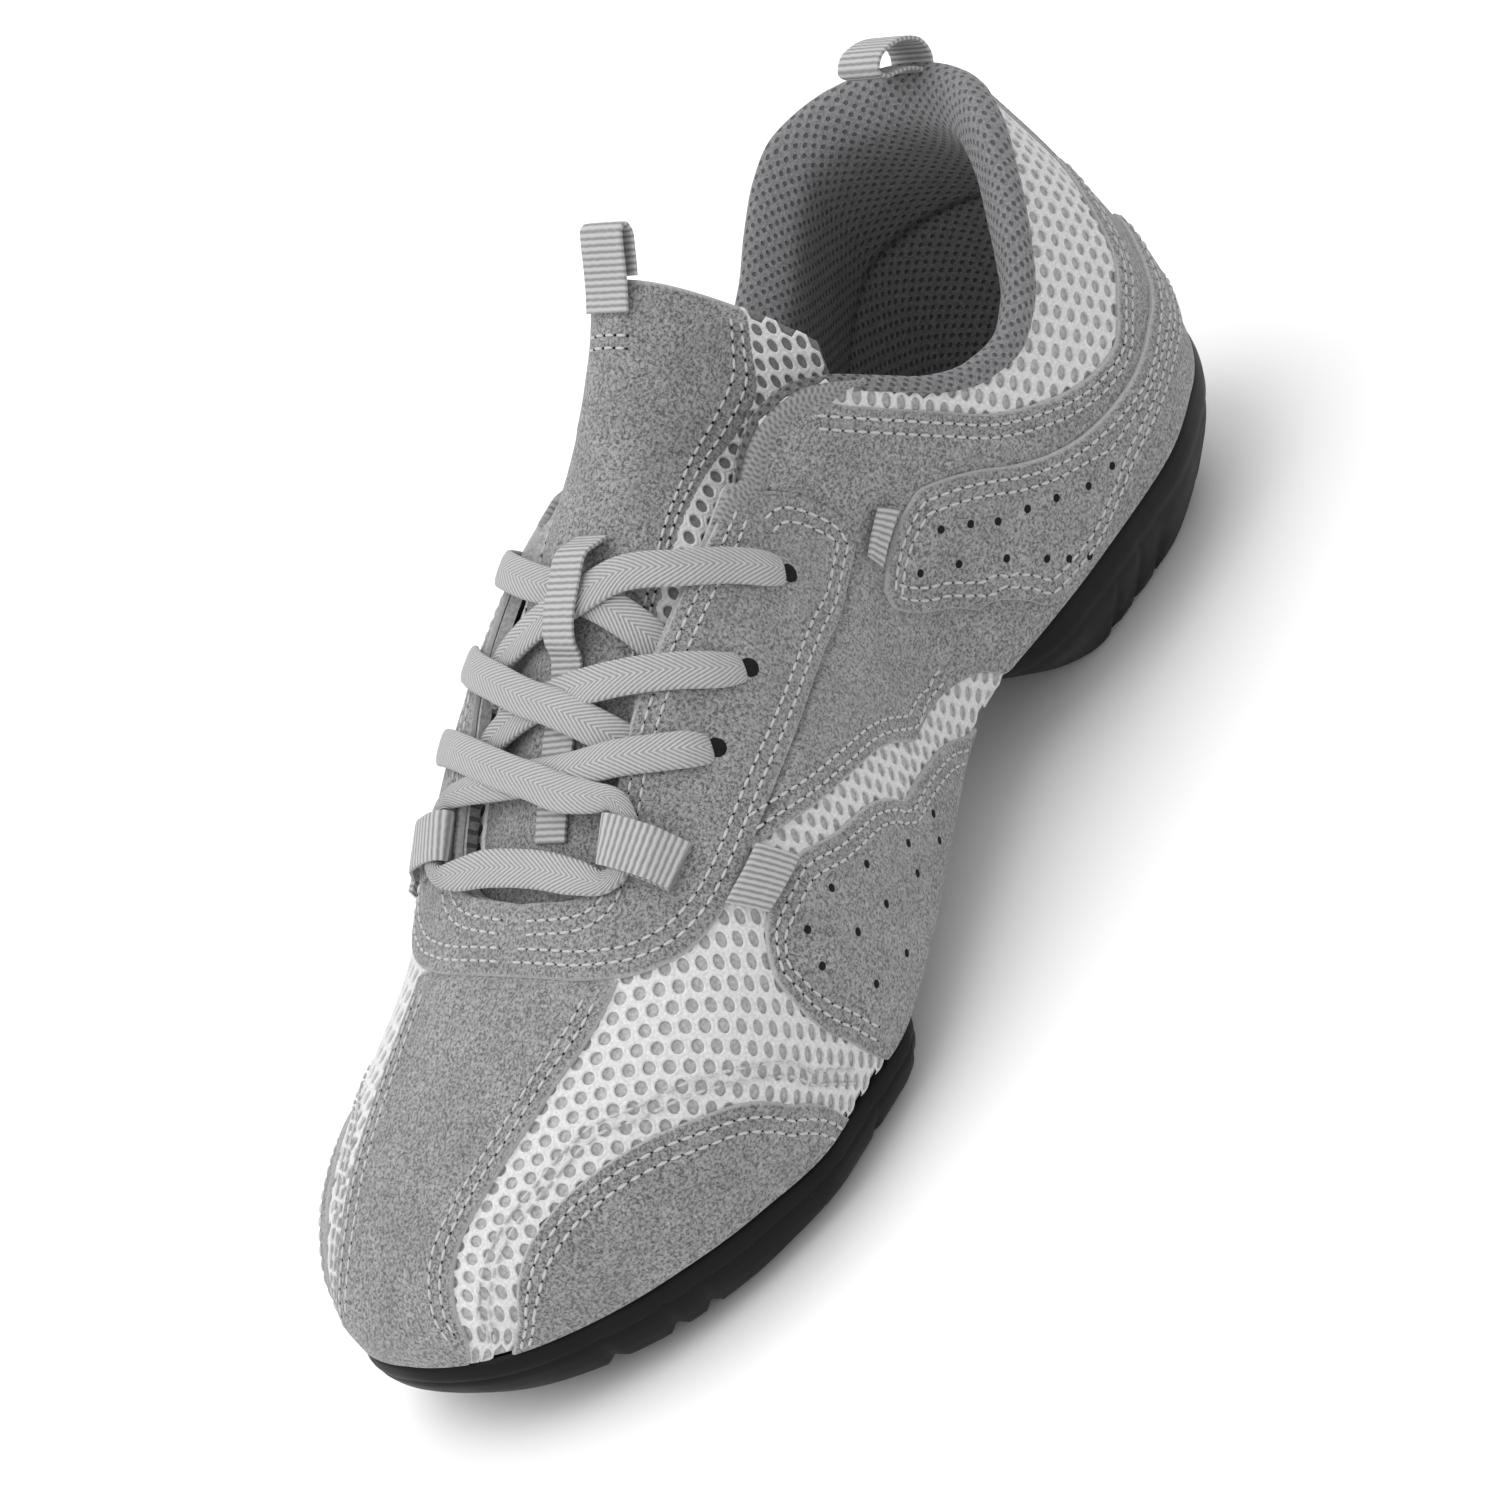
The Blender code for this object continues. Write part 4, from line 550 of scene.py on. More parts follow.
def add(tree, kind, inputs=(), **settings):
    """Add a node with its settings; each input is a value, or the socket that feeds it."""
    node = tree.nodes.new(kind)
    for key, value in settings.items():
        setattr(node, key, value)
    for key, value in dict(inputs).items():
        if isinstance(value, bpy.types.NodeSocket):
            tree.links.new(value, node.inputs[key])
        else:
            node.inputs[key].default_value = value
    return node


WAVE = math.pi / 10      # a wave texture of scale WAVE / pitch repeats once a pitch
MATERIALS = {}


def shader(name, rough, specular=0.3, sheen=0.0):
    """A new material: its node tree, surface shader and coordinates."""
    material = bpy.data.materials.new(name)
    material.use_nodes = True
    tree = material.node_tree
    surface = tree.nodes["Principled BSDF"]
    surface.inputs["Roughness"].default_value = rough
    surface.inputs["Specular IOR Level"].default_value = specular
    surface.inputs["Sheen Weight"].default_value = sheen
    place = add(tree, "ShaderNodeTexCoord")
    MATERIALS[name] = material
    return tree, surface, place.outputs["Object"], place.outputs["UV"]


def split_suede(look):
    """Split suede, brushed: a short nap that eats the light, clouded by stroking, paler where cut.

    The nap is drawn at 0.6 mm, coarser than the real 0.2 mm, so that it shows.
    """
    tree, surface, spot, _ = shader("split_suede", 0.95, specular=0.12, sheen=0.25)
    surface.inputs["Sheen Roughness"].default_value = 0.6
    nap = add(tree, "ShaderNodeTexNoise", {"Vector": spot, "Scale": 1800.0, "Detail": 4.0, "Roughness": 0.75})
    tuft = add(tree, "ShaderNodeTexNoise", {"Vector": spot, "Scale": 1450.0, "Detail": 3.0, "Roughness": 0.7})
    cloud = add(tree, "ShaderNodeTexNoise", {"Vector": spot, "Scale": 110.0, "Detail": 3.0})
    fleck = add(tree, "ShaderNodeMapRange", {0: nap.outputs[0], 1: 0.47, 2: 0.53})
    base = add(tree, "ShaderNodeMix", {0: fleck.outputs[0], 6: look.suede_dark, 7: look.suede},
               data_type="RGBA")
    raised = add(tree, "ShaderNodeMapRange", {0: tuft.outputs[0], 1: 0.44, 2: 0.64, 3: 0.0, 4: 0.60})
    brushed = add(tree, "ShaderNodeMix", {0: raised.outputs[0], 6: base.outputs[2], 7: look.suede_light},
                  data_type="RGBA")
    shaded = add(tree, "ShaderNodeMapRange", {0: cloud.outputs[0], 1: 0.38, 2: 0.66, 3: 0.0, 4: 0.22})
    stroked = add(tree, "ShaderNodeMix", {0: shaded.outputs[0], 6: brushed.outputs[2], 7: look.suede_dark},
                  data_type="RGBA")
    edge = add(tree, "ShaderNodeAttribute", attribute_name="edge")
    cut = add(tree, "ShaderNodeMapRange", {0: edge.outputs["Fac"], 1: 0.0002, 2: 0.0010, 3: 0.75, 4: 0.0})
    whole = add(tree, "ShaderNodeMix", {0: cut.outputs[0], 6: stroked.outputs[2], 7: look.suede_edge},
                data_type="RGBA")
    tree.links.new(whole.outputs[2], surface.inputs["Base Color"])
    coarse = add(tree, "ShaderNodeBump", {"Height": tuft.outputs[0], "Strength": 0.75, "Distance": 0.0006})
    fine = add(tree, "ShaderNodeBump", {"Height": nap.outputs[0], "Strength": 0.6, "Distance": 0.0003,
                                        "Normal": coarse.outputs[0]})
    tree.links.new(fine.outputs[0], surface.inputs["Normal"])


def spun_yarn(name, shade, grain, low=0.72, sheen=0.15):
    """Spun or knitted polyester yarn: matt, with small shadows between its strands; grain in metres."""
    tree, surface, spot, _ = shader(name, 0.9, specular=0.2, sheen=sheen)
    strands = add(tree, "ShaderNodeTexNoise", {"Vector": spot, "Scale": 1.0 / grain, "Detail": 3.0})
    depth = add(tree, "ShaderNodeMapRange", {0: strands.outputs[0], 1: 0.35, 2: 0.65})
    tone = add(tree, "ShaderNodeMix", {0: depth.outputs[0], 6: darker(shade, low), 7: shade},
               data_type="RGBA")
    tree.links.new(tone.outputs[2], surface.inputs["Base Color"])
    relief = add(tree, "ShaderNodeBump", {"Height": strands.outputs[0], "Strength": 0.6, "Distance": 0.0002})
    tree.links.new(relief.outputs[0], surface.inputs["Normal"])


def holed_knit(name, shade, hole, pitch, size):
    """Warp-knitted lining: a matt yarn ground, with small painted shadows between its strands, and rows of
    small staggered openings painted dark as shade.
    """
    tree, surface, spot, flat_place = shader(name, 0.95, specular=0.15, sheen=0.15)
    turned = add(tree, "ShaderNodeMapping", {"Vector": flat_place, "Rotation": (0.0, 0.0, math.radians(45))})
    rows = add(tree, "ShaderNodeTexVoronoi",
               {"Vector": turned.outputs[0], "Scale": 1.0 / pitch, "Randomness": 0.0},
               voronoi_dimensions="2D")
    open_part = add(tree, "ShaderNodeMapRange",
                    {0: rows.outputs["Distance"], 1: size * 0.6, 2: size, 3: 1.0, 4: 0.0},
                    interpolation_type="SMOOTHSTEP")
    strands = add(tree, "ShaderNodeTexNoise", {"Vector": spot, "Scale": 1800.0, "Detail": 3.0})
    depth = add(tree, "ShaderNodeMapRange", {0: strands.outputs[0], 1: 0.35, 2: 0.65})
    yarn = add(tree, "ShaderNodeMix", {0: depth.outputs[0], 6: darker(shade, 0.62), 7: shade},
               data_type="RGBA")
    # The openings take the dark colour: painted shade in the holes
    tone = add(tree, "ShaderNodeMix", {0: open_part.outputs[0], 6: yarn.outputs[2], 7: hole},
               data_type="RGBA")
    tree.links.new(tone.outputs[2], surface.inputs["Base Color"])
    sunk = add(tree, "ShaderNodeBump", {"Height": open_part.outputs[0], "Strength": 0.9, "Distance": 0.0004},
               invert=True)
    relief = add(tree, "ShaderNodeBump", {"Height": strands.outputs[0], "Strength": 0.5, "Distance": 0.0002,
                                          "Normal": sunk.outputs[0]})
    tree.links.new(relief.outputs[0], surface.inputs["Normal"])


def woven_tape(name, shade, dark, rib, slant, lean, share=0.5):
    """Woven polyester tape: weft ribs across it, yarns slanting out from its middle, a firm selvedge; the
    dark between ribs and yarns is painted shade.
    """
    tree, surface, spot, flat_place = shader(name, 0.82, specular=0.25, sheen=0.15)
    parts = add(tree, "ShaderNodeSeparateXYZ", {0: flat_place})
    off_middle = add(tree, "ShaderNodeMath", {0: parts.outputs[1]}, operation="ABSOLUTE")
    leaning = add(tree, "ShaderNodeMath", {0: off_middle.outputs[0], 1: 20.0 * WAVE / slant * lean},
                  operation="MULTIPLY")
    ribs = add(tree, "ShaderNodeTexWave", {"Vector": flat_place, "Scale": WAVE / rib}, bands_direction="X")
    yarns = add(tree, "ShaderNodeTexWave", {"Vector": flat_place, "Scale": WAVE / slant,
                                            "Phase Offset": leaning.outputs[0]}, bands_direction="X")
    weave = add(tree, "ShaderNodeMix", {0: share, 2: ribs.outputs["Fac"], 3: yarns.outputs["Fac"]})
    strands = add(tree, "ShaderNodeTexNoise", {"Vector": spot, "Scale": 2200.0, "Detail": 3.0})
    mixed = add(tree, "ShaderNodeMix", {0: 0.25, 2: weave.outputs[0], 3: strands.outputs[0]})
    depth = add(tree, "ShaderNodeMapRange", {0: mixed.outputs[0], 1: 0.22, 2: 0.62})
    # Painted shade: the yarn's darkened copy in the hollows of the weave
    tone = add(tree, "ShaderNodeMix", {0: depth.outputs[0], 6: dark, 7: shade}, data_type="RGBA")
    tree.links.new(tone.outputs[2], surface.inputs["Base Color"])
    relief = add(tree, "ShaderNodeBump", {"Height": mixed.outputs[0], "Strength": 0.9, "Distance": 0.0004})
    tree.links.new(relief.outputs[0], surface.inputs["Normal"])


def moulded_rubber(look):
    """Black rubber from a blasted mould: satin, nearly even, with a faint bloom where it was handled."""
    tree, surface, spot, _ = shader("moulded_rubber", 0.5, specular=0.18)
    pebble = add(tree, "ShaderNodeTexNoise", {"Vector": spot, "Scale": 1300.0, "Detail": 2.0})
    bloom = add(tree, "ShaderNodeTexNoise", {"Vector": spot, "Scale": 70.0, "Detail": 3.0})
    worn = add(tree, "ShaderNodeMapRange", {0: bloom.outputs[0], 1: 0.35, 2: 0.68, 3: 0.46, 4: 0.60})
    tone = add(tree, "ShaderNodeMix", {0: bloom.outputs[0], 6: darker(look.rubber, 0.8), 7: look.rubber},
               data_type="RGBA")
    tree.links.new(tone.outputs[2], surface.inputs["Base Color"])
    tree.links.new(worn.outputs[0], surface.inputs["Roughness"])
    relief = add(tree, "ShaderNodeBump", {"Height": pebble.outputs[0], "Strength": 0.22, "Distance": 0.0001})
    tree.links.new(relief.outputs[0], surface.inputs["Normal"])


def make_finishes():
    """Every finish of the shoe, from the colours the panel holds."""
    look = bpy.context.scene.sneaker
    split_suede(look)
    spun_yarn("spacer_mesh_yarn", look.mesh, 0.0006, low=0.80)
    spun_yarn("mesh_backing_knit", look.backing, 0.0007, low=0.66)
    # The tongue's real backing knit, darkened as painted shade where it lies sunk in the throat
    spun_yarn("tongue_backing_painted_shade", darker(look.backing, 0.45), 0.0007, low=0.66)
    spun_yarn("sewing_thread", look.thread, 0.0004, low=0.82)
    # Painted shade: the near-black colour set inside the needle holes, vents and eyelets
    spun_yarn("painted_hole_shade", look.hole, 0.0008, low=0.5, sheen=0.0)
    # The lining's openings: a darkened copy of the lining, painted shade
    holed_knit("lining_knit", look.lining, darker(look.lining, 0.34), 0.0018, 0.29)
    # Each tape's dark is a darkened copy of its own colour, painted shade in the weave's hollows
    woven_tape("ribbed_webbing", look.webbing, darker(look.webbing, 0.5), 0.00125, 0.0013, 0.6, share=0.12)
    woven_tape("flat_woven_lace", look.lace, darker(look.lace, 0.55), 0.0013, 0.0013, 1.6, share=0.9)
    woven_tape("knitted_binding", look.binding, darker(look.binding, 0.5), 0.0011, 0.0014, 1.0)
    moulded_rubber(look)


# The shoe's pieces

def upper_shell():
    """Lined base of the upper: grey backing outside, dark knit inside, open at the collar and throat."""
    throat_front = np.linspace(THROAT_END_AT - 0.02, THROAT_END_AT, 12)
    marks = np.unique(np.concatenate([unbow(np.linspace(0, 1, 150)), throat_front]))
    marks = marks[(marks > 0.0002) & (marks < 0.9998)]
    marks = np.concatenate([[0.0], marks, [1.0]])
    share = np.concatenate([np.linspace(0, 0.5, 25), np.linspace(0.5, 1, 17)[1:]])
    grids = []
    for side in (1, -1):
        edge = rim(marks, side)[:, None]
        across = np.where(share < 0.5, edge + (0.5 - edge) * share * 2, share)
        base, normal = frame_at(marks[:, None], side * across)
        inner = base - normal * WALL
        inner[..., 2] = np.maximum(inner[..., 2], feather(marks)[:, None] + 0.0004)
        grids.append((base, inner))
    closed = marks >= THROAT_END_AT
    verts, faces, uvs = [], [], []
    rows, columns = grids[0][0].shape[:2]
    block = rows * columns
    for base, inner in grids:
        u, v = lengths(base, 0), lengths(base, 1)
        uv = np.stack([np.repeat(u[:, :1], columns, 1), v], -1).reshape(-1, 2)
        verts += [base.reshape(-1, 3), inner.reshape(-1, 3)]
        uvs += [uv, uv]
    index = np.arange(block).reshape(rows, columns)
    for s in range(2):
        start = 2 * block * s
        a, b, c, d = index[:-1, :-1], index[1:, :-1], index[1:, 1:], index[:-1, 1:]
        top = np.stack([a, b, c, d], -1).reshape(-1, 4) + start
        faces += [top, top[:, ::-1] + block]
        rim_row = np.where(~closed)[0]
        rim_row = rim_row[rim_row < rows - 1]
        free = np.stack([index[rim_row + 1, 0], index[rim_row, 0], index[rim_row, 0] + block,
                         index[rim_row + 1, 0] + block], -1) + start
        low = index[:, -1]
        foot = np.stack([low[:-1], low[1:], low[1:] + block, low[:-1] + block], -1) + start
        faces += [free, foot]
    piece = mesh_object("upper_base", np.concatenate(verts), np.concatenate(faces),
                        [MATERIALS["mesh_backing_knit"], MATERIALS["lining_knit"]], np.concatenate(uvs))
    tone_faces(piece)
    dress(piece, "upper")


def tone_faces(piece):
    """Faces turned to the foot take the lining."""
    mesh = piece.data
    centre = np.empty(len(mesh.polygons) * 3, np.float32)
    facing = np.empty(len(mesh.polygons) * 3, np.float32)
    mesh.polygons.foreach_get("center", centre)
    mesh.polygons.foreach_get("normal", facing)
    centre, facing = centre.reshape(-1, 3), facing.reshape(-1, 3)
    at = np.clip(centre[:, 0] / LENGTH + HEEL_REST_AT, 0.02, 0.97)
    heart = np.stack([station_x(at), BALL_WIDTH * last("centre", at), feather(at) + 0.012], -1)
    inside = np.sum((centre - heart) * facing, -1) < 0
    mesh.polygons.foreach_set("material_index", inside.astype(np.int32))


WAIST_THICK = 0.0018


def waist_floor():
    """Underside of the waist, where the upper itself closes the arch."""
    marks = np.linspace(HEEL_CUT_AT[0] - 0.06, FORE_CUT_AT[0] + 0.05, 60)
    share = np.linspace(-1, 1, 25)
    rows = []
    for at in marks:
        foot, centre, half = feather(at), BALL_WIDTH * last("centre", at), half_width(at)
        sink = belly(at) * np.cos(share * math.pi / 2)
        rows.append(np.stack([np.full(25, station_x(at)), centre + share * half, foot - sink], -1))
    outer = np.array(rows)
    piece = shell("waist_floor", outer, outer + (0, 0, WAIST_THICK), MATERIALS["split_suede"])
    dress(piece, slot="upper")


class Pattern:
    """Lengths over a surface of (at, across), to lay flat patterns on it."""

    def __init__(self, at, across, grid, column):
        self.at, self.across = at, across
        self.down, self.along = lengths(grid, 1), lengths(grid, 0)[:, column]

    def rows(self, row):
        """Lengths down the surface at rows given as fractions."""
        low = np.clip(row.astype(int), 0, len(self.at) - 2)
        return self.down[low] * (1 - (row - low))[:, None] + self.down[low + 1] * (row - low)[:, None]

    def lay(self, at, across):
        """(at, across) to flat (u, v) metres."""
        table = self.rows(np.interp(at, self.at, np.arange(len(self.at))))
        v = [np.interp(spot, self.across, row) for spot, row in zip(across, table)]
        return np.interp(at, self.at, self.along), np.array(v)

    def place(self, u, v):
        """Flat (u, v) metres to (at, across)."""
        table = self.rows(np.interp(u, self.along, np.arange(len(self.at))))
        k = np.clip(np.sum(table < v[:, None], axis=1), 1, len(self.across) - 1)
        pick = np.arange(len(v))
        a, b = table[pick, k - 1], table[pick, k]
        t = np.clip((v - a) / np.maximum(b - a, 1e-9), 0, 1)
        across = self.across[k - 1] + (self.across[k] - self.across[k - 1]) * t
        return np.interp(u, self.along, self.at), across


def side_pattern(side):
    """One side of the last, laid flat."""
    at, across = unbow(np.linspace(0.02, 0.985, 260)), np.linspace(0, 1, 90)
    return Pattern(at, across, skin(at[:, None], side * across), 30)


def flat(at, across):
    """Panel plane in metres, to measure distances between edges."""
    return np.stack([np.asarray(at) * LENGTH, np.asarray(across) * ACROSS_LENGTH], -1)


def inside_outline(points, ring):
    """Depth of points inside a closed outline: positive inside, negative outside."""
    a, b = ring, np.roll(ring, -1, 0)
    leg = b - a
    x, y = points[:, None, 0], points[:, None, 1]
    reach = leg[:, 0] * (y - a[:, 1]) / np.where(leg[:, 1] == 0, 1e-12, leg[:, 1]) + a[:, 0]
    cross = ((a[:, 1] > y) != (b[:, 1] > y)) & (x < reach)
    inner = cross.sum(1) % 2 == 1
    t = np.clip(np.sum((points[:, None] - a) * leg, -1) / np.maximum(np.sum(leg * leg, -1), 1e-12), 0, 1)
    gap = np.linalg.norm(points[:, None] - (a + leg * t[..., None]), axis=-1).min(1)
    return np.where(inner, gap, -gap)


def outline_of(*edges):
    """Closed outline in the panel plane from edges given one after the other."""
    rows = np.concatenate([trace(e, 60) for e in edges])
    return flat(rows[:, 0], np.abs(rows[:, 1]))


def side_rows(rows, side):
    return rows if side > 0 else mirrored(rows)


def eyestay_outline(side):
    """Outline of one half of the eyestay."""
    inner = [(a, float(rim(a, side)) if a < THROAT_END_AT else 0.0) for a in EYESTAY_INNER_AT]
    return outline_of(EYESTAY_OUTER, inner[::-1])


def covers(side):
    """Outlines of the suede on one side of the shoe."""
    strip = STRIP_EDGE if side > 0 else STRIP_EDGE_MEDIAL
    return [outline_of(EYESTAY_OUTER, ((0.782, 0.0), (0.446, 0.0))),
            outline_of(strip, ((1.0, 0.9), (1.0, 0.0), (strip[0][0], 0.0))),
            outline_of(TOE_SIDE_TOP, TOE_SIDE_LOW[::-1]),
            outline_of(ARCH_TOP, ARCH_LOW[::-1]),
            outline_of(QUARTER_LOW, QUARTER_TOP[::-1])]


def cell(radius, pitch, depth):
    """One yarn cell of the spacer mesh: a six-sided rim round an open hole."""
    turn = np.arange(12) * math.pi / 6
    reach = pitch / 2 / np.cos((turn + math.pi / 6) % (math.pi / 3) - math.pi / 6)
    rings = ((reach, depth * 0.78), (radius + (reach - radius) * 0.45, depth), (radius, depth * 0.72),
             (radius * 1.02, 0.0))
    verts = np.concatenate([np.stack([np.cos(turn) * r, np.sin(turn) * r, np.full(12, z)], -1)
                            for r, z in rings])
    faces = [(12 * k + j, 12 * k + (j + 1) % 12, 12 * k + 12 + (j + 1) % 12, 12 * k + 12 + j)
             for k in range(3) for j in range(12)]
    mesh = bpy.data.meshes.new("cell")
    mesh.from_pydata(verts.tolist(), [], faces)
    piece = bpy.data.objects.new("cell", mesh)
    bpy.context.scene.collection.objects.link(piece)
    return piece


def repeat_tree(name, material):
    """Node tree that sets a piece on every point, turned along and out by the points' attributes."""
    tree = bpy.data.node_groups.new(name, "GeometryNodeTree")
    sockets = tree.interface
    sockets.new_socket("Geometry", in_out="INPUT", socket_type="NodeSocketGeometry")
    sockets.new_socket("Piece", in_out="INPUT", socket_type="NodeSocketObject")
    sockets.new_socket("Scale", in_out="INPUT", socket_type="NodeSocketVector")
    sockets.new_socket("Geometry", in_out="OUTPUT", socket_type="NodeSocketGeometry")
    given, result = add(tree, "NodeGroupInput"), add(tree, "NodeGroupOutput")
    along = add(tree, "GeometryNodeInputNamedAttribute", {"Name": "along"}, data_type="FLOAT_VECTOR")
    facing = add(tree, "GeometryNodeInputNamedAttribute", {"Name": "facing"}, data_type="FLOAT_VECTOR")
    turn = add(tree, "FunctionNodeAxesToRotation", {"Primary Axis": facing.outputs[0],
                                                    "Secondary Axis": along.outputs[0]},
               primary_axis="Z", secondary_axis="X")
    source = add(tree, "GeometryNodeObjectInfo", {"Object": given.outputs["Piece"]})
    spread_out = add(tree, "GeometryNodeInstanceOnPoints",
                     {"Points": given.outputs["Geometry"], "Instance": source.outputs["Geometry"],
                      "Rotation": turn.outputs[0], "Scale": given.outputs["Scale"]})
    real = add(tree, "GeometryNodeRealizeInstances", {"Geometry": spread_out.outputs[0]})
    last_node = add(tree, "GeometryNodeSetMaterial", {"Geometry": real.outputs[0], "Material": material})
    tree.links.new(last_node.outputs[0], result.inputs["Geometry"])
    return tree


def repeat(name, points, along, facing, source, material, scale=(1.0, 1.0, 1.0)):
    """Set a small source piece on many points and make one plain mesh of them."""
    mesh = bpy.data.meshes.new(name)
    mesh.from_pydata(np.asarray(points).tolist(), [], [])
    for key, field in (("along", along), ("facing", facing)):
        layer_data = mesh.attributes.new(key, "FLOAT_VECTOR", "POINT")
        layer_data.data.foreach_set("vector", np.asarray(field, np.float32).ravel())
    carrier = bpy.data.objects.new(name, mesh)
    bpy.context.scene.collection.objects.link(carrier)
    nodes = carrier.modifiers.new("repeat", "NODES")
    nodes.node_group = repeat_tree(name + "_tree", material)
    ids = {item.name: item.identifier for item in nodes.node_group.interface.items_tree
           if item.item_type == "SOCKET" and item.in_out == "INPUT"}
    nodes[ids["Piece"]] = source
    nodes[ids["Scale"]] = scale
    carrier.update_tag()
    done = bpy.data.meshes.new_from_object(carrier.evaluated_get(bpy.context.evaluated_depsgraph_get()))
    carrier.modifiers.clear()
    carrier.data = done
    done.name = name
    done.shade_smooth()
    bpy.data.objects.remove(source)
    return carrier


def honeycomb(run, width, pitch, start=0.0):
    """Staggered rows of flat points, a pitch apart."""
    u, v = np.meshgrid(np.arange(start, run, pitch), np.arange(0, width, pitch * math.sqrt(3)),
                       indexing="ij")
    rows = np.stack([u, v], -1).reshape(-1, 2)
    return np.concatenate([rows, rows + (pitch / 2, pitch * math.sqrt(3) / 2)])


def open_mesh(name, spots, pattern, side, surface, slot):
    """Spacer mesh with a cell on each flat spot, bent over a surface that gives points and normals."""
    look = bpy.context.scene.sneaker
    count = len(spots)
    piece = repeat(name, np.column_stack([spots, np.zeros(count)]), np.tile((1.0, 0.0, 0.0), (count, 1)),
                   np.tile((0.0, 0.0, 1.0), (count, 1)), cell(look.mesh_hole / 2, look.mesh_pitch, MESH_HIGH),
                   MATERIALS["spacer_mesh_yarn"])
    verts = np.empty(len(piece.data.vertices) * 3)
    piece.data.vertices.foreach_get("co", verts)
    verts = verts.reshape(-1, 3)
    at, across = pattern.place(verts[:, 0], verts[:, 1])
    base, normal = surface(at, side * across)
    piece.data.vertices.foreach_set("co", (base + normal * verts[:, 2:3]).ravel())
    if side < 0:
        piece.data.flip_normals()
    piece.data.update()
    dress(piece, slot=slot)


MESH_TUCK = 0.0026         # the mesh reaches this far under the suede
MESH_DOWN = 0.125          # the mesh is cut this long, ridge to feather line


def spacer_mesh():
    """White open spacer mesh wherever no suede covers the upper."""
    pitch = bpy.context.scene.sneaker.mesh_pitch
    for side, word in ((1, "lateral"), (-1, "medial")):
        pattern = side_pattern(side)
        spots = honeycomb(pattern.along[-1], MESH_DOWN, pitch)
        at, across = pattern.place(spots[:, 0], spots[:, 1])
        under_roll = np.interp(at, (0.27, 0.33), (0.004, 0.012))
        keep = (spots[:, 1] < np.interp(spots[:, 0], pattern.along, pattern.down[:, -4])) & (at > 0.012)
        keep &= (across > rim(at, side) + under_roll) & (spots[:, 0] < pattern.along[-1] - pitch)
        for ring in covers(side):
            keep &= inside_outline(flat(at, across), ring) < MESH_TUCK
        open_mesh("spacer_mesh_" + word, spots[keep], pattern, side, frame_at, "upper")


def suede_panels():
    """Every cut suede piece over the mesh."""
    suede = MATERIALS["split_suede"]
    eyestay_panel()
    strip_panel()
    backstay_panel()
    for side, word in ((1, "lateral"), (-1, "medial")):
        for name, edges, along, over in (("toe_panel_", (TOE_SIDE_TOP, TOE_SIDE_LOW), 60, 24),
                                         ("arch_panel_", (ARCH_TOP, ARCH_LOW), 80, 30),
                                         ("quarter_", (QUARTER_LOW, QUARTER_TOP), 170, 34)):
            first, second = (side_rows(edge, side) for edge in edges)
            piece = ruled("suede_" + name + word, first, second, along, over, suede,
                          tucked=name == "quarter_")
            dress(piece, name + word)
        piece = ruled("suede_rear_" + word, side_rows(REAR_TOP, side), side_rows(REAR_LOW, side), 80, 14,
                      suede, UPPER_LOW, UPPER_HIGH)
        dress(piece, "rear_panel_" + word)


def eyestay_panel():
    """U of suede round the throat."""
    t = np.linspace(0, len(EYESTAY_OUTER) - 1, 130)
    outer = np.stack([smooth(range(len(EYESTAY_OUTER)), [row[k] for row in EYESTAY_OUTER], t)
                      for k in (0, 1)], -1)
    inner_at = smooth(range(len(EYESTAY_INNER_AT)), EYESTAY_INNER_AT, t)
    margin = EDGE_MARGIN / BALL_WIDTH * 0.5
    halves = []
    for side in (1, -1):
        edge = rim(inner_at, side) + margin
        start = np.stack([inner_at, side * edge], -1)
        start[-1] = (THROAT_END_AT + 0.0015, 0.0)
        end = outer * (1, side)
        span = np.linalg.norm(skin(start[:, 0], start[:, 1]) - skin(end[:, 0], end[:, 1]), axis=-1)
        s = crowded(span, 26)[..., None]
        halves.append(start[:, None] * (1 - s) + end[:, None] * s)
    grid = np.concatenate([halves[0], halves[1][-2::-1]])
    piece = layer("suede_eyestay", grid[..., 0], grid[..., 1], MATERIALS["split_suede"], SUEDE_LOW,
                  SUEDE_HIGH)
    dress(piece, "eyestay")


def strip_panel():
    """Suede strip down the middle of the toe."""
    count = 110
    lateral, medial, middle = (trace(e, count) for e in (STRIP_EDGE, STRIP_EDGE_MEDIAL, STRIP_MIDDLE))
    halves = []
    for edge, side in ((lateral, 1), (medial, -1)):
        target = middle * (1, side)
        span = np.linalg.norm(skin(edge[:, 0], edge[:, 1]) - skin(target[:, 0], target[:, 1]), axis=-1)
        share = np.concatenate([np.minimum(np.array((0, 0.0003, 0.0008)) / np.maximum(span[:, None], 1e-4),
                                           (0, 0.1, 0.2)), np.tile(np.linspace(0.25, 1, 18), (count, 1))], 1)
        halves.append(edge[:, None] * (1 - share[..., None]) + target[:, None] * share[..., None])
    grid = np.concatenate([halves[0], halves[1][:, -2::-1]], 1)
    piece = layer("suede_toe_strip", grid[..., 0], grid[..., 1], MATERIALS["split_suede"], SUEDE_LOW,
                  SUEDE_HIGH, tucked=True)
    dress(piece, "toe_strip")


BACKSTAY_LENGTH = 0.075
BACKSTAY_TO = 0.915        # the backstay ends here, just above the sole
BACKSTAY_PROUD = 0.0004    # it lies over the ends of the quarters


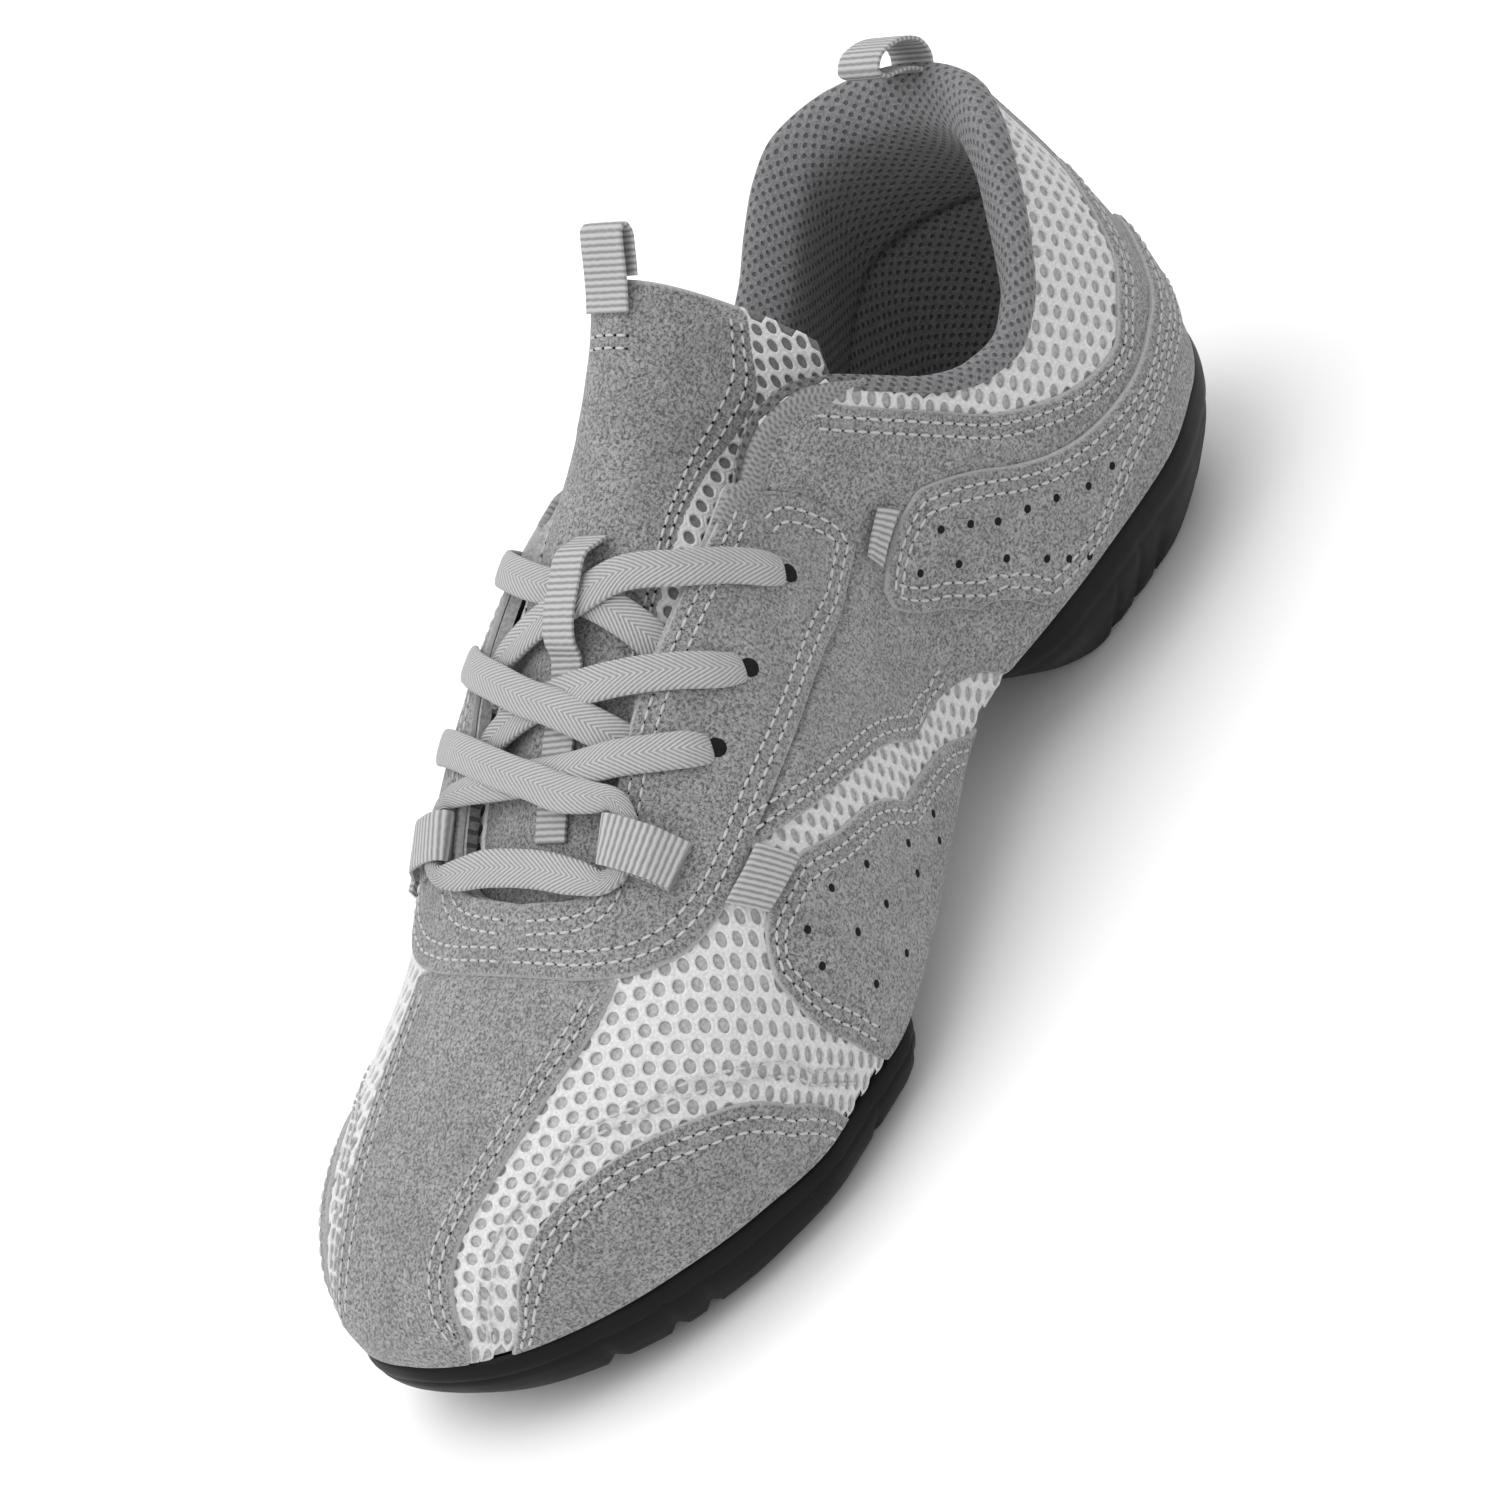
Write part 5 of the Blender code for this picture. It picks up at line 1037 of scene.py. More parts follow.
def backstay_panel():
    """Raised strip up the heel."""
    share = crowded(np.array(BACKSTAY_LENGTH), 60)
    rows = []
    for s in share:
        edge = float(np.interp(s, (0.0, 0.5), BACKSTAY_AT))
        t = np.concatenate([[-1, -0.98, -0.95], np.linspace(-0.9, 0.9, 31), [0.95, 0.98, 1]])
        at = unbow(np.abs(t) * bow(edge))
        side = np.where(t < 0, -1.0, 1.0)
        top = np.where(t < 0, rim(at, -1), rim(at, 1)) + 0.004
        rows.append(np.stack([at, side * (top + (BACKSTAY_TO - top) * s)], -1))
    grid = np.array(rows)
    piece = layer("suede_backstay", grid[..., 0], grid[..., 1], MATERIALS["split_suede"], SUEDE_LOW,
                  SUEDE_HIGH + BACKSTAY_PROUD)
    dress(piece, "backstay")


def webbing_tabs():
    """Small webbing tabs sewn over the panel edges."""
    for side, word in ((1, "lateral"), (-1, "medial")):
        for name, rows in (("front_tab_", FRONT_TAB), ("rear_tab_", REAR_TAB)):
            piece = ruled("webbing_" + name + word, side_rows(rows[:2], side), side_rows(rows[2:], side),
                          16, 16, MATERIALS["ribbed_webbing"], TAB_LOW, TAB_HIGH)
            dress(piece, name + word)


SOLE_SOFT = (0.0006, 0.0010)   # rounding of the soles' upper and lower edges
LINE_DEPTH, LINE_AT, LINE_SPAN = 0.0005, 0.30, 0.035     # fine line moulded round the wall
SOLE_CORNER = 0.012            # corner radius where each sole is cut across


def fine_sole(name, marks, tip, cut, table, width, ground, rise, grooves, node):
    """A moulded cup sole with rounded edges, as its solid but finely stepped."""
    down = np.concatenate([[0, 0.02, 0.05], np.linspace(0.09, 0.94, 18), [0.965, 0.985, 1.0]])
    out = smooth(table[:, 0], table[:, 1], down)
    rows = []
    for share, beyond in zip(down, out):
        edge = cut[0] + (cut[1] - cut[0]) * share
        lateral, medial = [], []
        soft = SOLE_SOFT[0] * max(0.0, 1 - share / 0.05) + SOLE_SOFT[1] * max(0.0, (share - 0.94) / 0.06) ** 2
        line = LINE_DEPTH * math.exp(-((share - LINE_AT) / LINE_SPAN) ** 2)
        for at_top in marks:
            at = tip + (at_top - tip) * (edge - tip) / (cut[0] - tip)
            near = abs(edge - at) * LENGTH
            for side, chain in ((1, lateral), (-1, medial)):
                place = outline(at, side, beyond * width - soft - line)
                middle = BALL_WIDTH * last("centre", at)
                if near < SOLE_CORNER and at != tip:
                    trim = SOLE_CORNER - math.sqrt(max(SOLE_CORNER ** 2 - (SOLE_CORNER - near) ** 2, 0))
                    place[1] -= side * min(trim, abs(place[1] - middle) * 0.6)
                floor = read(ground, GROUND_COLUMNS, "up", at) * rise + groove(at, grooves)
                top = feather(at_top) - CLEAR
                chain.append((place[0], place[1], top + (floor - top) * share))
        rows.append(np.array(lateral + medial[::-1]))
    rows = np.array(rows)
    count, ring = rows.shape[:2]
    half = ring // 2
    index = np.arange(count * ring).reshape(count, ring)
    loop = np.hstack([index, index[:, :1]])
    quads = [np.stack([loop[:-1, :-1], loop[1:, :-1], loop[1:, 1:], loop[:-1, 1:]], -1).reshape(-1, 4)]
    verts = [rows.reshape(-1, 3)]
    base = count * ring
    for level, flip in ((0, False), (count - 1, True)):
        a, b = rows[level, :half], rows[level, :half - 1:-1]
        steps = np.linspace(0, 1, 9)[1:-1]
        inner = a[:, None] * (1 - steps[:, None]) + b[:, None] * steps[:, None]
        grid = np.hstack([index[level, :half, None], base + np.arange(half * 7).reshape(half, 7),
                          index[level, :half - 1:-1, None]])
        base += half * 7
        verts.append(inner.reshape(-1, 3))
        cap = np.stack([grid[:-1, :-1], grid[1:, :-1], grid[1:, 1:], grid[:-1, 1:]], -1).reshape(-1, 4)
        quads.append(cap[:, ::-1] if flip else cap)
    verts = np.concatenate(verts)
    piece = mesh_object(name, verts, np.concatenate(quads), MATERIALS["moulded_rubber"], verts[:, :2],
                        smooth_angle=42)
    dress(piece, node)


def sole_stations(wide, tip, cut, grooves):
    """Stations along a sole's top: even ones, close ones round the cut's corner and over each groove."""
    turn = cut[0] + (tip - cut[0]) / abs(tip - cut[0]) * SOLE_CORNER / LENGTH * np.linspace(0, 1, 12) ** 2
    near = np.linspace(-1.2, 1.2, 9) * GROOVE_HALF / LENGTH
    over = [tip + (cut[0] - tip) * (g - tip) / (cut[1] - tip) + near for g in grooves]
    return np.unique(np.concatenate([unbow(wide), turn, *over]))


def rubber_soles():
    """The two black soles."""
    heel = sole_stations(np.linspace(0, bow(HEEL_CUT_AT[0]), 60), 0.0, HEEL_CUT_AT, HEEL_GROOVES_AT)
    fine_sole("rubber_heel", heel[heel <= HEEL_CUT_AT[0]], 0.0, HEEL_CUT_AT, HEEL_SIDE, HEEL_WIDTH,
              HEEL_GROUND, HEEL_RISE, HEEL_GROOVES_AT, "heel_sole")
    fore = sole_stations(np.linspace(bow(FORE_CUT_AT[0]), 1, 70), 1.0, FORE_CUT_AT, FORE_GROOVES_AT)
    fine_sole("rubber_forefoot", fore[fore >= FORE_CUT_AT[0]], 1.0, FORE_CUT_AT, FORE_SIDE, BALL_WIDTH,
              FORE_GROUND, TOE_RISE, FORE_GROOVES_AT, "forefoot_sole")


def footbed():
    """Knit-covered insole, crowned a little at its edge."""
    marks = unbow(np.linspace(0, 1, 90))
    share = np.sin(np.linspace(-1, 1, 33) * math.pi / 2)
    inset = WALL + CLEAR
    outer, inner = [], []
    for at in marks:
        z = float(feather(at)) + WALL + CLEAR
        sides = [outline(float(at), s, -inset) + (back_shift(at, z), 0) for s in (-1, 1)]
        line = np.array([sides[0] + (sides[1] - sides[0]) * (s + 1) / 2 for s in share])
        high = INSOLE_THICK * (1 - 0.75 * np.abs(share) ** 6)
        outer.append(np.column_stack([line, z + high]))
        inner.append(np.column_stack([line, np.full(33, z)]))
    piece = shell("footbed_knit", np.array(outer), np.array(inner), MATERIALS["lining_knit"])
    dress(piece, "insole")


def collar_roll():
    """Padded knit roll: over the topline, bulging inside, thinning down into the wall."""
    reach = float(bow(COLLAR_CORNER_AT - 0.004))
    t = np.linspace(-1, 1, 221)
    side = np.where(t < 0, -1.0, 1.0)
    at = unbow(np.abs(t) * reach)
    full = read(PAD, PAD_COLUMNS, "thick", at)
    edge = np.where(t < 0, rim(at, -1), rim(at, 1))
    top = skin(at, side * edge)[:, 2]
    turn = np.linspace(0, 1, 15)
    profile = [(0.085 - 0.11 * k, 0.0017 + 0.0005 * math.sin(k * math.pi)) for k in np.linspace(0, 1, 4)]
    rows = []
    proud = 1 - 0.9 * np.clip((at - 0.29) / 0.05, 0, 1)
    for share, lift in profile:
        rows.append((np.full(len(at), share), lift * proud))
    for a in np.linspace(0, math.pi / 2, 9)[1:]:
        depth = (1 - math.cos(a)) * (WALL + CLEAR + PAD_THICK * full)
        rise = -0.035 - 0.05 * full * math.sin(a * 2)
        rows.append((rise + 0.11 * (a / (math.pi / 2)) ** 3, 0.0010 - depth))
    for s in turn[1:]:
        share = 0.075 + 0.925 * s
        thick = PAD_THICK * full * np.interp(share, (0.075, 0.3, 0.65, 1.0), (1.0, 1.0, 0.65, 0.12))
        rows.append((np.full(len(at), share), -(WALL + CLEAR + thick)))
    outer = []
    for share, lift in rows:
        height = top - share * PAD_DEPTH
        across = side * across_at_height(at, height)
        base, normal = frame_at(at, across)
        over = np.maximum(height - RIDGE_HEIGHT * last("ridge", at), 0)
        outer.append(base + normal * np.asarray(lift)[..., None] + np.stack([over * 0, over * 0, over], -1))
    outer = np.array(outer).transpose(1, 0, 2)
    inner = []
    for k, (share, lift) in enumerate(rows):
        share = np.clip(share, 0.0, 1.0)
        height = top - share * PAD_DEPTH
        base, normal = frame_at(at, side * across_at_height(at, height))
        inner.append(base + normal * (0.0002 if k < 4 else -WALL * 0.6))
    inner = np.array(inner).transpose(1, 0, 2)
    piece = shell("collar_roll", outer, inner, MATERIALS["lining_knit"], angle=80)
    dress(piece, "collar_padding")


THROAT_GAP = 0.0015        # the tongue's edge starts to tuck this far inside the opening
TUCK_POWER = 1.3           # how late it dips
TONGUE_EDGE_THIN = 0.45    # the pad loses this share of its depth toward its edges


def tongue_grid(at, share, depth):
    """Points of the tongue for arrays of stations and shares."""
    row = {name: read(TONGUE, TONGUE_COLUMNS, name, at) for name in TONGUE_COLUMNS[1:]}
    place = at - row["sweep"] * share ** 2
    half = np.abs(share) * THROAT_WIDTH * row["half"]
    across = np.copysign(across_at_half(place, half), share)
    tuck = np.minimum(half / np.maximum(np.interp(place, FREE_AT, FREE_HALF) - THROAT_GAP, 0.001), 1)
    tuck = (tuck * tuck * (3 - 2 * tuck)) ** TUCK_POWER
    lift = row["lift"] + (row["edge_lift"] - row["lift"]) * tuck
    lift = lift - depth * (1 - TONGUE_EDGE_THIN * share ** 4)
    base, normal = frame_at(place, across)
    return base + normal * (lift * TONGUE_THICK)[..., None]


TONGUE_SUEDE_SHARE = 0.72      # the tongue's suede reaches this far out; mesh covers the rest
TONGUE_FOOT_AT = 0.748         # the tongue is sewn in under the front of the throat
TONGUE_SUNK = 0.16             # depth of the mesh's backing, as a share of the tongue's thickness
TONGUE_MESH_OVER = 0.016       # the tongue's mesh is cut this wide


def tongue_surface(at, share, depth=0.0):
    """Points at a depth in the tongue, and the way out of it."""
    place, under = tongue_grid(at, share, depth), tongue_grid(at, share, 1.0)
    return place, (place - under) / np.linalg.norm(place - under, axis=-1, keepdims=True)


def tongue_bed(at, share):
    """The sunk face that the tongue's mesh lies on."""
    return tongue_surface(at, share, TONGUE_SUNK)


def tongue_pad():
    """Padded tongue: a knit-backed pad, its suede face and the open mesh down its sides."""
    at = np.linspace(TONGUE[0, 0], TONGUE_FOOT_AT, 94)[:, None]
    share = np.sin(np.linspace(-1, 1, 61) * math.pi / 2)[None, :]
    outer, inner = tongue_grid(at, share, TONGUE_SUNK), tongue_grid(at, share, 1.0)
    near = from_border(outer)
    puff = 0.5 - 0.5 * np.sqrt(1 - (1 - np.clip(near / 0.0030, 0, 1)) ** 2)
    middle = (outer + inner) / 2
    outer, inner = outer + (middle - outer) * puff[..., None], inner + (middle - inner) * puff[..., None]
    # The pad's outside takes the backing darkened as painted shade, the inside the lining
    piece = shell("tongue_pad", outer, inner, [MATERIALS["tongue_backing_painted_shade"], MATERIALS["lining_knit"]],
                  angle=80)
    tone_faces(piece)
    dress(piece, "tongue")
    tongue_suede()
    tongue_mesh()


def tongue_suede():
    """Suede face of the tongue, rounded down at its edges."""
    at = np.linspace(TONGUE[0, 0] + 0.0005, TONGUE_FOOT_AT, 124)[:, None]
    share = (crowded(np.array(0.040), 36) * 2 - 1)[None, :] * TONGUE_SUEDE_SHARE
    outer, under = tongue_grid(at, share, 0.0), tongue_grid(at, share, TONGUE_SUNK * 1.2)
    near = from_border(outer)
    puff = 0.5 - 0.5 * np.sqrt(1 - (1 - np.clip(near / 0.0012, 0, 1)) ** 2)
    outer = outer + (under - outer) * puff[..., None]
    piece = shell("suede_tongue", outer, under, MATERIALS["split_suede"], angle=60)
    dress(piece, slot="tongue")


def tongue_mesh():
    """Open mesh down both sides of the tongue."""
    pitch = bpy.context.scene.sneaker.mesh_pitch
    at = np.linspace(TONGUE[0, 0], TONGUE[-1, 0], 120)
    share = np.linspace(TONGUE_SUEDE_SHARE - 0.04, 0.985, 30)
    for side, word in ((1, "lateral"), (-1, "medial")):
        pattern = Pattern(at, share, tongue_grid(at[:, None], side * share[None, :], TONGUE_SUNK), 10)
        spots = honeycomb(pattern.along[-1], TONGUE_MESH_OVER, pitch, pitch * 0.55)
        wide = np.interp(spots[:, 0], pattern.along, pattern.down[:, -1])
        spots = spots[(spots[:, 1] < wide) & (spots[:, 0] < pattern.along[-1] - pitch)]
        open_mesh("tongue_mesh_" + word, spots, pattern, side, tongue_bed, "tongue")


def swept(name, points, wide, width, thick, material, taper=1.0, thin=1.0, power=2.6, ring=18):
    """A woven band along points: a rounded flat section, both ends closed, UV map in metres."""
    points = np.asarray(points, float)
    along = np.gradient(points, axis=0)
    along /= np.linalg.norm(along, axis=1, keepdims=True)
    wide = np.broadcast_to(np.asarray(wide, float), points.shape)
    wide = wide - along * np.sum(along * wide, axis=1, keepdims=True)
    wide = wide / np.linalg.norm(wide, axis=1, keepdims=True)
    up = np.cross(wide, along)
    turn = np.arange(ring) * 2 * math.pi / ring
    x = np.sign(np.cos(turn)) * np.abs(np.cos(turn)) ** (2 / power) / 2
    z = np.sign(np.sin(turn)) * np.abs(np.sin(turn)) ** (2 / power) / 2
    widths = np.broadcast_to(width * np.asarray(taper, float), len(points))
    heights = np.broadcast_to(thick * np.asarray(thin, float), len(points))
    grid = (points[:, None] + wide[:, None] * (x[None, :, None] * widths[:, None, None])
            + up[:, None] * (z[None, :, None] * heights[:, None, None]))
    run = np.concatenate([[0], np.cumsum(np.linalg.norm(np.diff(points, axis=0), axis=1))])
    uv = np.stack([np.repeat(run[:, None], ring, 1), np.repeat(x[None] * width, len(points), 0)], -1)
    count = len(points)
    index = np.arange(count * ring).reshape(count, ring)
    loop = np.hstack([index, index[:, :1]])
    quads = np.stack([loop[:-1, :-1], loop[1:, :-1], loop[1:, 1:], loop[:-1, 1:]], -1).reshape(-1, 4).tolist()
    base = count * ring
    caps = [(base, loop[0, j], loop[0, j + 1]) for j in range(ring)]
    caps += [(base + 1, loop[-1, j + 1], loop[-1, j]) for j in range(ring)]
    verts = np.concatenate([grid.reshape(-1, 3), points[[0, -1]]])
    flat_uv = np.concatenate([uv.reshape(-1, 2), [(run[0], 0), (run[-1], 0)]])
    return mesh_object(name, verts, quads + [tuple(int(i) for i in c) for c in caps], material, flat_uv)


def smooth_path(rows, step):
    """Even steps along control rows given in metres, on a curve through them."""
    rows = np.asarray(rows, float)
    run = np.concatenate([[0], np.cumsum(np.linalg.norm(np.diff(rows[:, :3], axis=0), axis=1))])
    t = np.linspace(0, run[-1], int(run[-1] / step) + 1)
    return natural(run, rows, t)


def natural(x, rows, t):
    """Smooth curve through rows."""
    slope = np.gradient(rows, x, axis=0)
    k = np.clip(np.searchsorted(x, t, side="right") - 1, 0, len(x) - 2)
    h = (x[k + 1] - x[k])[:, None]
    s = ((t - x[k])[:, None]) / h
    return (rows[k] * (1 + 2 * s) * (1 - s) ** 2 + slope[k] * h * s * (1 - s) ** 2
            + rows[k + 1] * s * s * (3 - 2 * s) + slope[k + 1] * h * s * s * (s - 1))


# Lace runs at full detail: (at, across, lift in mm, share of the width)
RUN_A = ((0.602, -0.150, -3.4, 0.9), (0.594, -0.118, -0.8, 1.0), (0.578, -0.050, 1.0, 1.0),
         (0.556, 0.025, 2.5, 1.0), (0.537, 0.080, 2.9, 1.0), (0.517, 0.170, 2.9, 1.0),
         (0.497, 0.235, 2.7, 1.0), (0.481, 0.285, 2.7, 0.95), (0.473, 0.304, 1.6, 0.80),
         (0.470, 0.312, -0.8, 0.60))
RUN_B = ((0.570, 0.166, -3.6, 0.9), (0.565, 0.134, -1.2, 1.0), (0.558, 0.085, 0.6, 1.0),
         (0.549, 0.015, 0.9, 1.0), (0.541, -0.050, 1.6, 1.0), (0.525, -0.130, 2.9, 1.0),
         (0.502, -0.220, 2.8, 1.0), (0.482, -0.285, 2.7, 0.95), (0.474, -0.304, 1.6, 0.80),
         (0.470, -0.312, -0.8, 0.60))
RUN_E = ((0.640, 0.146, -3.6, 0.9), (0.635, 0.114, -1.2, 1.0), (0.629, 0.065, 1.2, 1.0),
         (0.619, 0.000, 2.6, 1.0), (0.606, -0.060, 3.0, 1.0), (0.594, -0.115, 3.0, 1.0),
         (0.577, -0.180, 2.8, 1.0), (0.563, -0.243, 2.7, 0.95), (0.556, -0.262, 1.6, 0.80),
         (0.553, -0.270, -0.8, 0.60))
RUN_F = ((0.654, -0.146, -3.6, 0.9), (0.646, -0.112, -1.4, 1.0), (0.632, -0.050, 0.5, 1.0),
         (0.614, 0.018, 0.9, 1.0), (0.602, 0.088, 2.4, 1.0), (0.583, 0.175, 2.9, 1.0),
         (0.566, 0.238, 2.7, 0.95), (0.557, 0.260, 1.6, 0.80), (0.553, 0.269, -0.8, 0.60))
RUN_FRONT = ((0.616, 0.236, -0.8, 0.60), (0.619, 0.228, 1.6, 0.80), (0.624, 0.212, 2.7, 0.95),
             (0.636, 0.165, 2.9, 1.0), (0.647, 0.110, 2.6, 1.0), (0.658, 0.050, 1.4, 1.0),
             (0.664, 0.000, 1.2, 1.0), (0.668, -0.050, 1.9, 0.9), (0.670, -0.095, 3.0, 0.75),
             (0.673, -0.124, 3.6, 0.55), (0.682, -0.141, 3.7, 0.5), (0.695, -0.145, 3.7, 0.5),
             (0.708, -0.141, 3.7, 0.5), (0.717, -0.124, 3.5, 0.55), (0.719, -0.095, 3.2, 0.8),
             (0.717, -0.040, 2.7, 1.0), (0.717, 0.020, 2.6, 1.0), (0.719, 0.080, 3.0, 0.9),
             (0.718, 0.122, 3.5, 0.6), (0.709, 0.141, 3.7, 0.5), (0.695, 0.145, 3.7, 0.5),
             (0.681, 0.141, 3.7, 0.5), (0.672, 0.122, 3.5, 0.6), (0.673, 0.085, 3.2, 0.85),
             (0.673, 0.045, 3.0, 1.0), (0.666, 0.000, 3.1, 1.0), (0.655, -0.060, 3.2, 1.0),
             (0.643, -0.120, 3.1, 1.0), (0.633, -0.170, 2.8, 1.0), (0.624, -0.212, 2.7, 0.95),
             (0.619, -0.228, 1.6, 0.80), (0.616, -0.236, -0.8, 0.60))
EYELETS_AT = ((0.468, 0.318), (0.551, 0.275), (0.614, 0.242))


LACE_HIGH = 0.0021         # thickness of the lace, a little more than its solid's


def lace_run(name, rows):
    """One visible run of the flat lace."""
    look = bpy.context.scene.sneaker
    rows = np.array(rows, float)
    path = smooth_path(rows * (LENGTH, ACROSS_LENGTH, 0.001, 1.0), 0.0009)
    at, across = path[:, 0] / LENGTH, path[:, 1] / ACROSS_LENGTH
    base, normal = frame_at(at, across)
    points = base + normal * path[:, 2:3]
    along = np.gradient(points, axis=0)
    taper = np.clip(path[:, 3], 0.4, 1.0)
    return swept(name, points, np.cross(normal, along), look.lace_width, LACE_HIGH,
                 MATERIALS["flat_woven_lace"], taper, 1 / np.sqrt(taper), 2.7, 26)


def flat_laces():
    """The lace as it shows: two pairs of crossing runs, and the front one through both loops."""
    for name, rows, node in (("a", RUN_A, "lace_top"), ("b", RUN_B, "lace_top"), ("e", RUN_E, "lace_middle"),
                             ("f", RUN_F, "lace_middle"), ("front", RUN_FRONT, "lace_front")):
        dress(lace_run("lace_run_" + name, rows), node)


GUIDE_THICK, PULL_THICK = 0.0009, 0.0010      # webbing of the lace guides, and of the pull loops
HALF_WEBBING = 0.0005                         # from a face of the webbing to its middle
PULL_WIDTH = 0.0105                           # webbing of the tongue's loop


def loops():
    """Webbing loops, the folded lace guides and the lace keeper."""
    webbing = MATERIALS["ribbed_webbing"]
    for side, word in ((1, "lateral"), (-1, "medial")):
        rows = smooth_path([(across * ACROSS_LENGTH, lift - HALF_WEBBING, 0)
                            for across, lift in LACE_LOOP_PATH], 0.0004)
        across, lift = side * rows[:, 0] / ACROSS_LENGTH, rows[:, 1]
        at = np.full(len(rows), LACE_LOOP_AT)
        base, normal = frame_at(at, across)
        ahead = frame_at(at + 0.01, across)[0]
        piece = swept("webbing_lace_loop_" + word, base + normal * lift[:, None], (ahead - base) * side,
                      LOOP_WIDTH, GUIDE_THICK, webbing, power=6)
        dress(piece, "lace_loop_" + word)
    top = skin(0.0, rim(0.0, 1))
    path = smooth_path([top + (x, 0, z) for x, z in HEEL_LOOP_PATH], 0.0004)
    piece = swept("webbing_heel_loop", path, (0, 1, 0), HEEL_LOOP_WIDTH, PULL_THICK, webbing, power=6)
    dress(piece, "heel_loop")
    foot = tongue_face(TONGUE_LOOP_AT, 0.0, CLEAR + WEBBING / 2)
    path = smooth_path([foot + (x, 0, z) for x, z in TONGUE_LOOP_PATH], 0.0004)
    piece = swept("webbing_tongue_loop", path, (0, 1, 0), PULL_WIDTH, PULL_THICK, webbing, power=6)
    dress(piece, "tongue_loop")
    stops, lifts = np.array(KEEPER_ROWS).T
    rows = smooth_path(np.column_stack([stops * LENGTH, lifts, lifts * 0]), 0.0006)
    path = np.array([tongue_face(a / LENGTH, KEEPER_Y, lift + HALF_WEBBING) for a, lift, _ in rows])
    piece = swept("webbing_keeper", path, (0, 1, 0), KEEPER_WIDTH, GUIDE_THICK, webbing, power=6)
    dress(piece, "lace_keeper")


def tongue_face(at, y, lift):
    """A point over the tongue's outer face."""
    share = y / (THROAT_WIDTH * float(read(TONGUE, TONGUE_COLUMNS, "half", at)))
    place, up = tongue_surface(np.array([at]), np.array([share]))
    return (place + up * lift)[0]


BINDING_WIDTH, BINDING_THICK = 0.0050, 0.0034
BINDING_DOWN = 0.0021      # the tape's middle is this far below the upper's edge
BINDING_AT = (0.318, 0.470)


def edge_binding():
    """Knitted tape folded over the front of the collar and down to the eyestay."""
    for side, word in ((1, "lateral"), (-1, "medial")):
        at = np.concatenate([np.linspace(BINDING_AT[0], COLLAR_CORNER_AT, 60),
                             np.linspace(COLLAR_CORNER_AT, BINDING_AT[1], 20)[1:]])
        edge = np.convolve(np.pad(rim(at, side), 5, "edge"), np.ones(11) / 11, "valid")
        slim = np.clip((at - BINDING_AT[0]) / 0.03, 0.30, 1.0)
        down = edge + BINDING_DOWN * slim / ACROSS_LENGTH
        base, normal = frame_at(at, side * down)
        below = frame_at(at, side * (down + 0.02))[0]
        piece = swept("binding_" + word, base + normal * 0.0001, below - base, BINDING_WIDTH, BINDING_THICK,
                      MATERIALS["knitted_binding"], taper=slim, power=2.2, ring=22)
        dress(piece, slot="collar_padding")


# Stitching, punched holes and eyelets

PATTERN = side_pattern(1)      # the lateral side laid flat; both sides are sewn to it
FEATHER_MARGIN = 0.93          # stitches stop this far down, just above the sole
STITCH_HALF = 0.0009           # half a stitch
STITCH_SECTION = (0.00062, 0.00060)
# Size of the dark beads that paint the shade in the needle holes
NEEDLE_HOLE_SHADE = (0.0007, 0.0006, 0.00036)
VENT_WIDTH, EYELET_WIDTH, HOLE_DEPTH = 0.0018, 0.0042, 0.0005


def offset_line(rows, mm, count=400):
    """An edge moved sideways over the skin: down for one that runs toward the toe, and so on round."""
    line = trace(rows, count)
    u, v = PATTERN.lay(line[:, 0], line[:, 1])
    ahead_u, ahead_v = np.gradient(u), np.gradient(v)
    reach = mm * 0.001 / np.maximum(np.hypot(ahead_u, ahead_v), 1e-9)
    moved_u, moved_v = u - ahead_v * reach, v + ahead_u * reach
    gap = np.hypot(moved_u[:, None] - u, moved_v[:, None] - v).min(1)
    forward = np.gradient(moved_u) * ahead_u + np.gradient(moved_v) * ahead_v > 0
    at, across = PATTERN.place(moved_u, moved_v)
    return np.column_stack([at, across])[forward & (gap >= abs(mm) * 0.00098) & (across < FEATHER_MARGIN)]


def along_line(line, side, lift, pitch, trim=(0.002, 0.002)):
    """Points, directions and normals every pitch along a line of (at, across)."""
    at, across = np.clip(line[:, 0], 0.001, 0.999), side * line[:, 1]
    base, normal = frame_at(at, across)
    points = base + normal * lift
    run = lengths(points[:, None], 0)[:, 0]
    stops = np.arange(trim[0], run[-1] - trim[1], pitch)
    place = np.stack([np.interp(stops, run, points[:, k]) for k in range(3)], -1)
    facing = np.stack([np.interp(stops, run, normal[:, k]) for k in range(3)], -1)
    ahead = np.stack([np.interp(stops + STITCH_HALF, run, points[:, k])
                      - np.interp(stops - STITCH_HALF, run, points[:, k]) for k in range(3)], -1)
    ahead /= np.maximum(np.linalg.norm(ahead, axis=1, keepdims=True), 1e-9)
    return place, ahead, facing


def bead(name, segments=8, rings=6):
    """A rounded bead of unit size, to be scaled into a stitch or a hole."""
    mesh = bpy.data.meshes.new(name)
    work = bmesh.new()
    bmesh.ops.create_uvsphere(work, u_segments=segments, v_segments=rings, radius=0.5,
                              matrix=Matrix.Rotation(math.pi / 2, 4, "Y"))
    work.to_mesh(mesh)
    work.free()
    piece = bpy.data.objects.new(name, mesh)
    bpy.context.scene.collection.objects.link(piece)
    return piece


THROAT_LINE = tuple((at, float(rim(at, 1))) for at in (*np.linspace(0.452, 0.715, 20), 0.722, 0.728, 0.732,
                                                       0.7345, 0.7358))
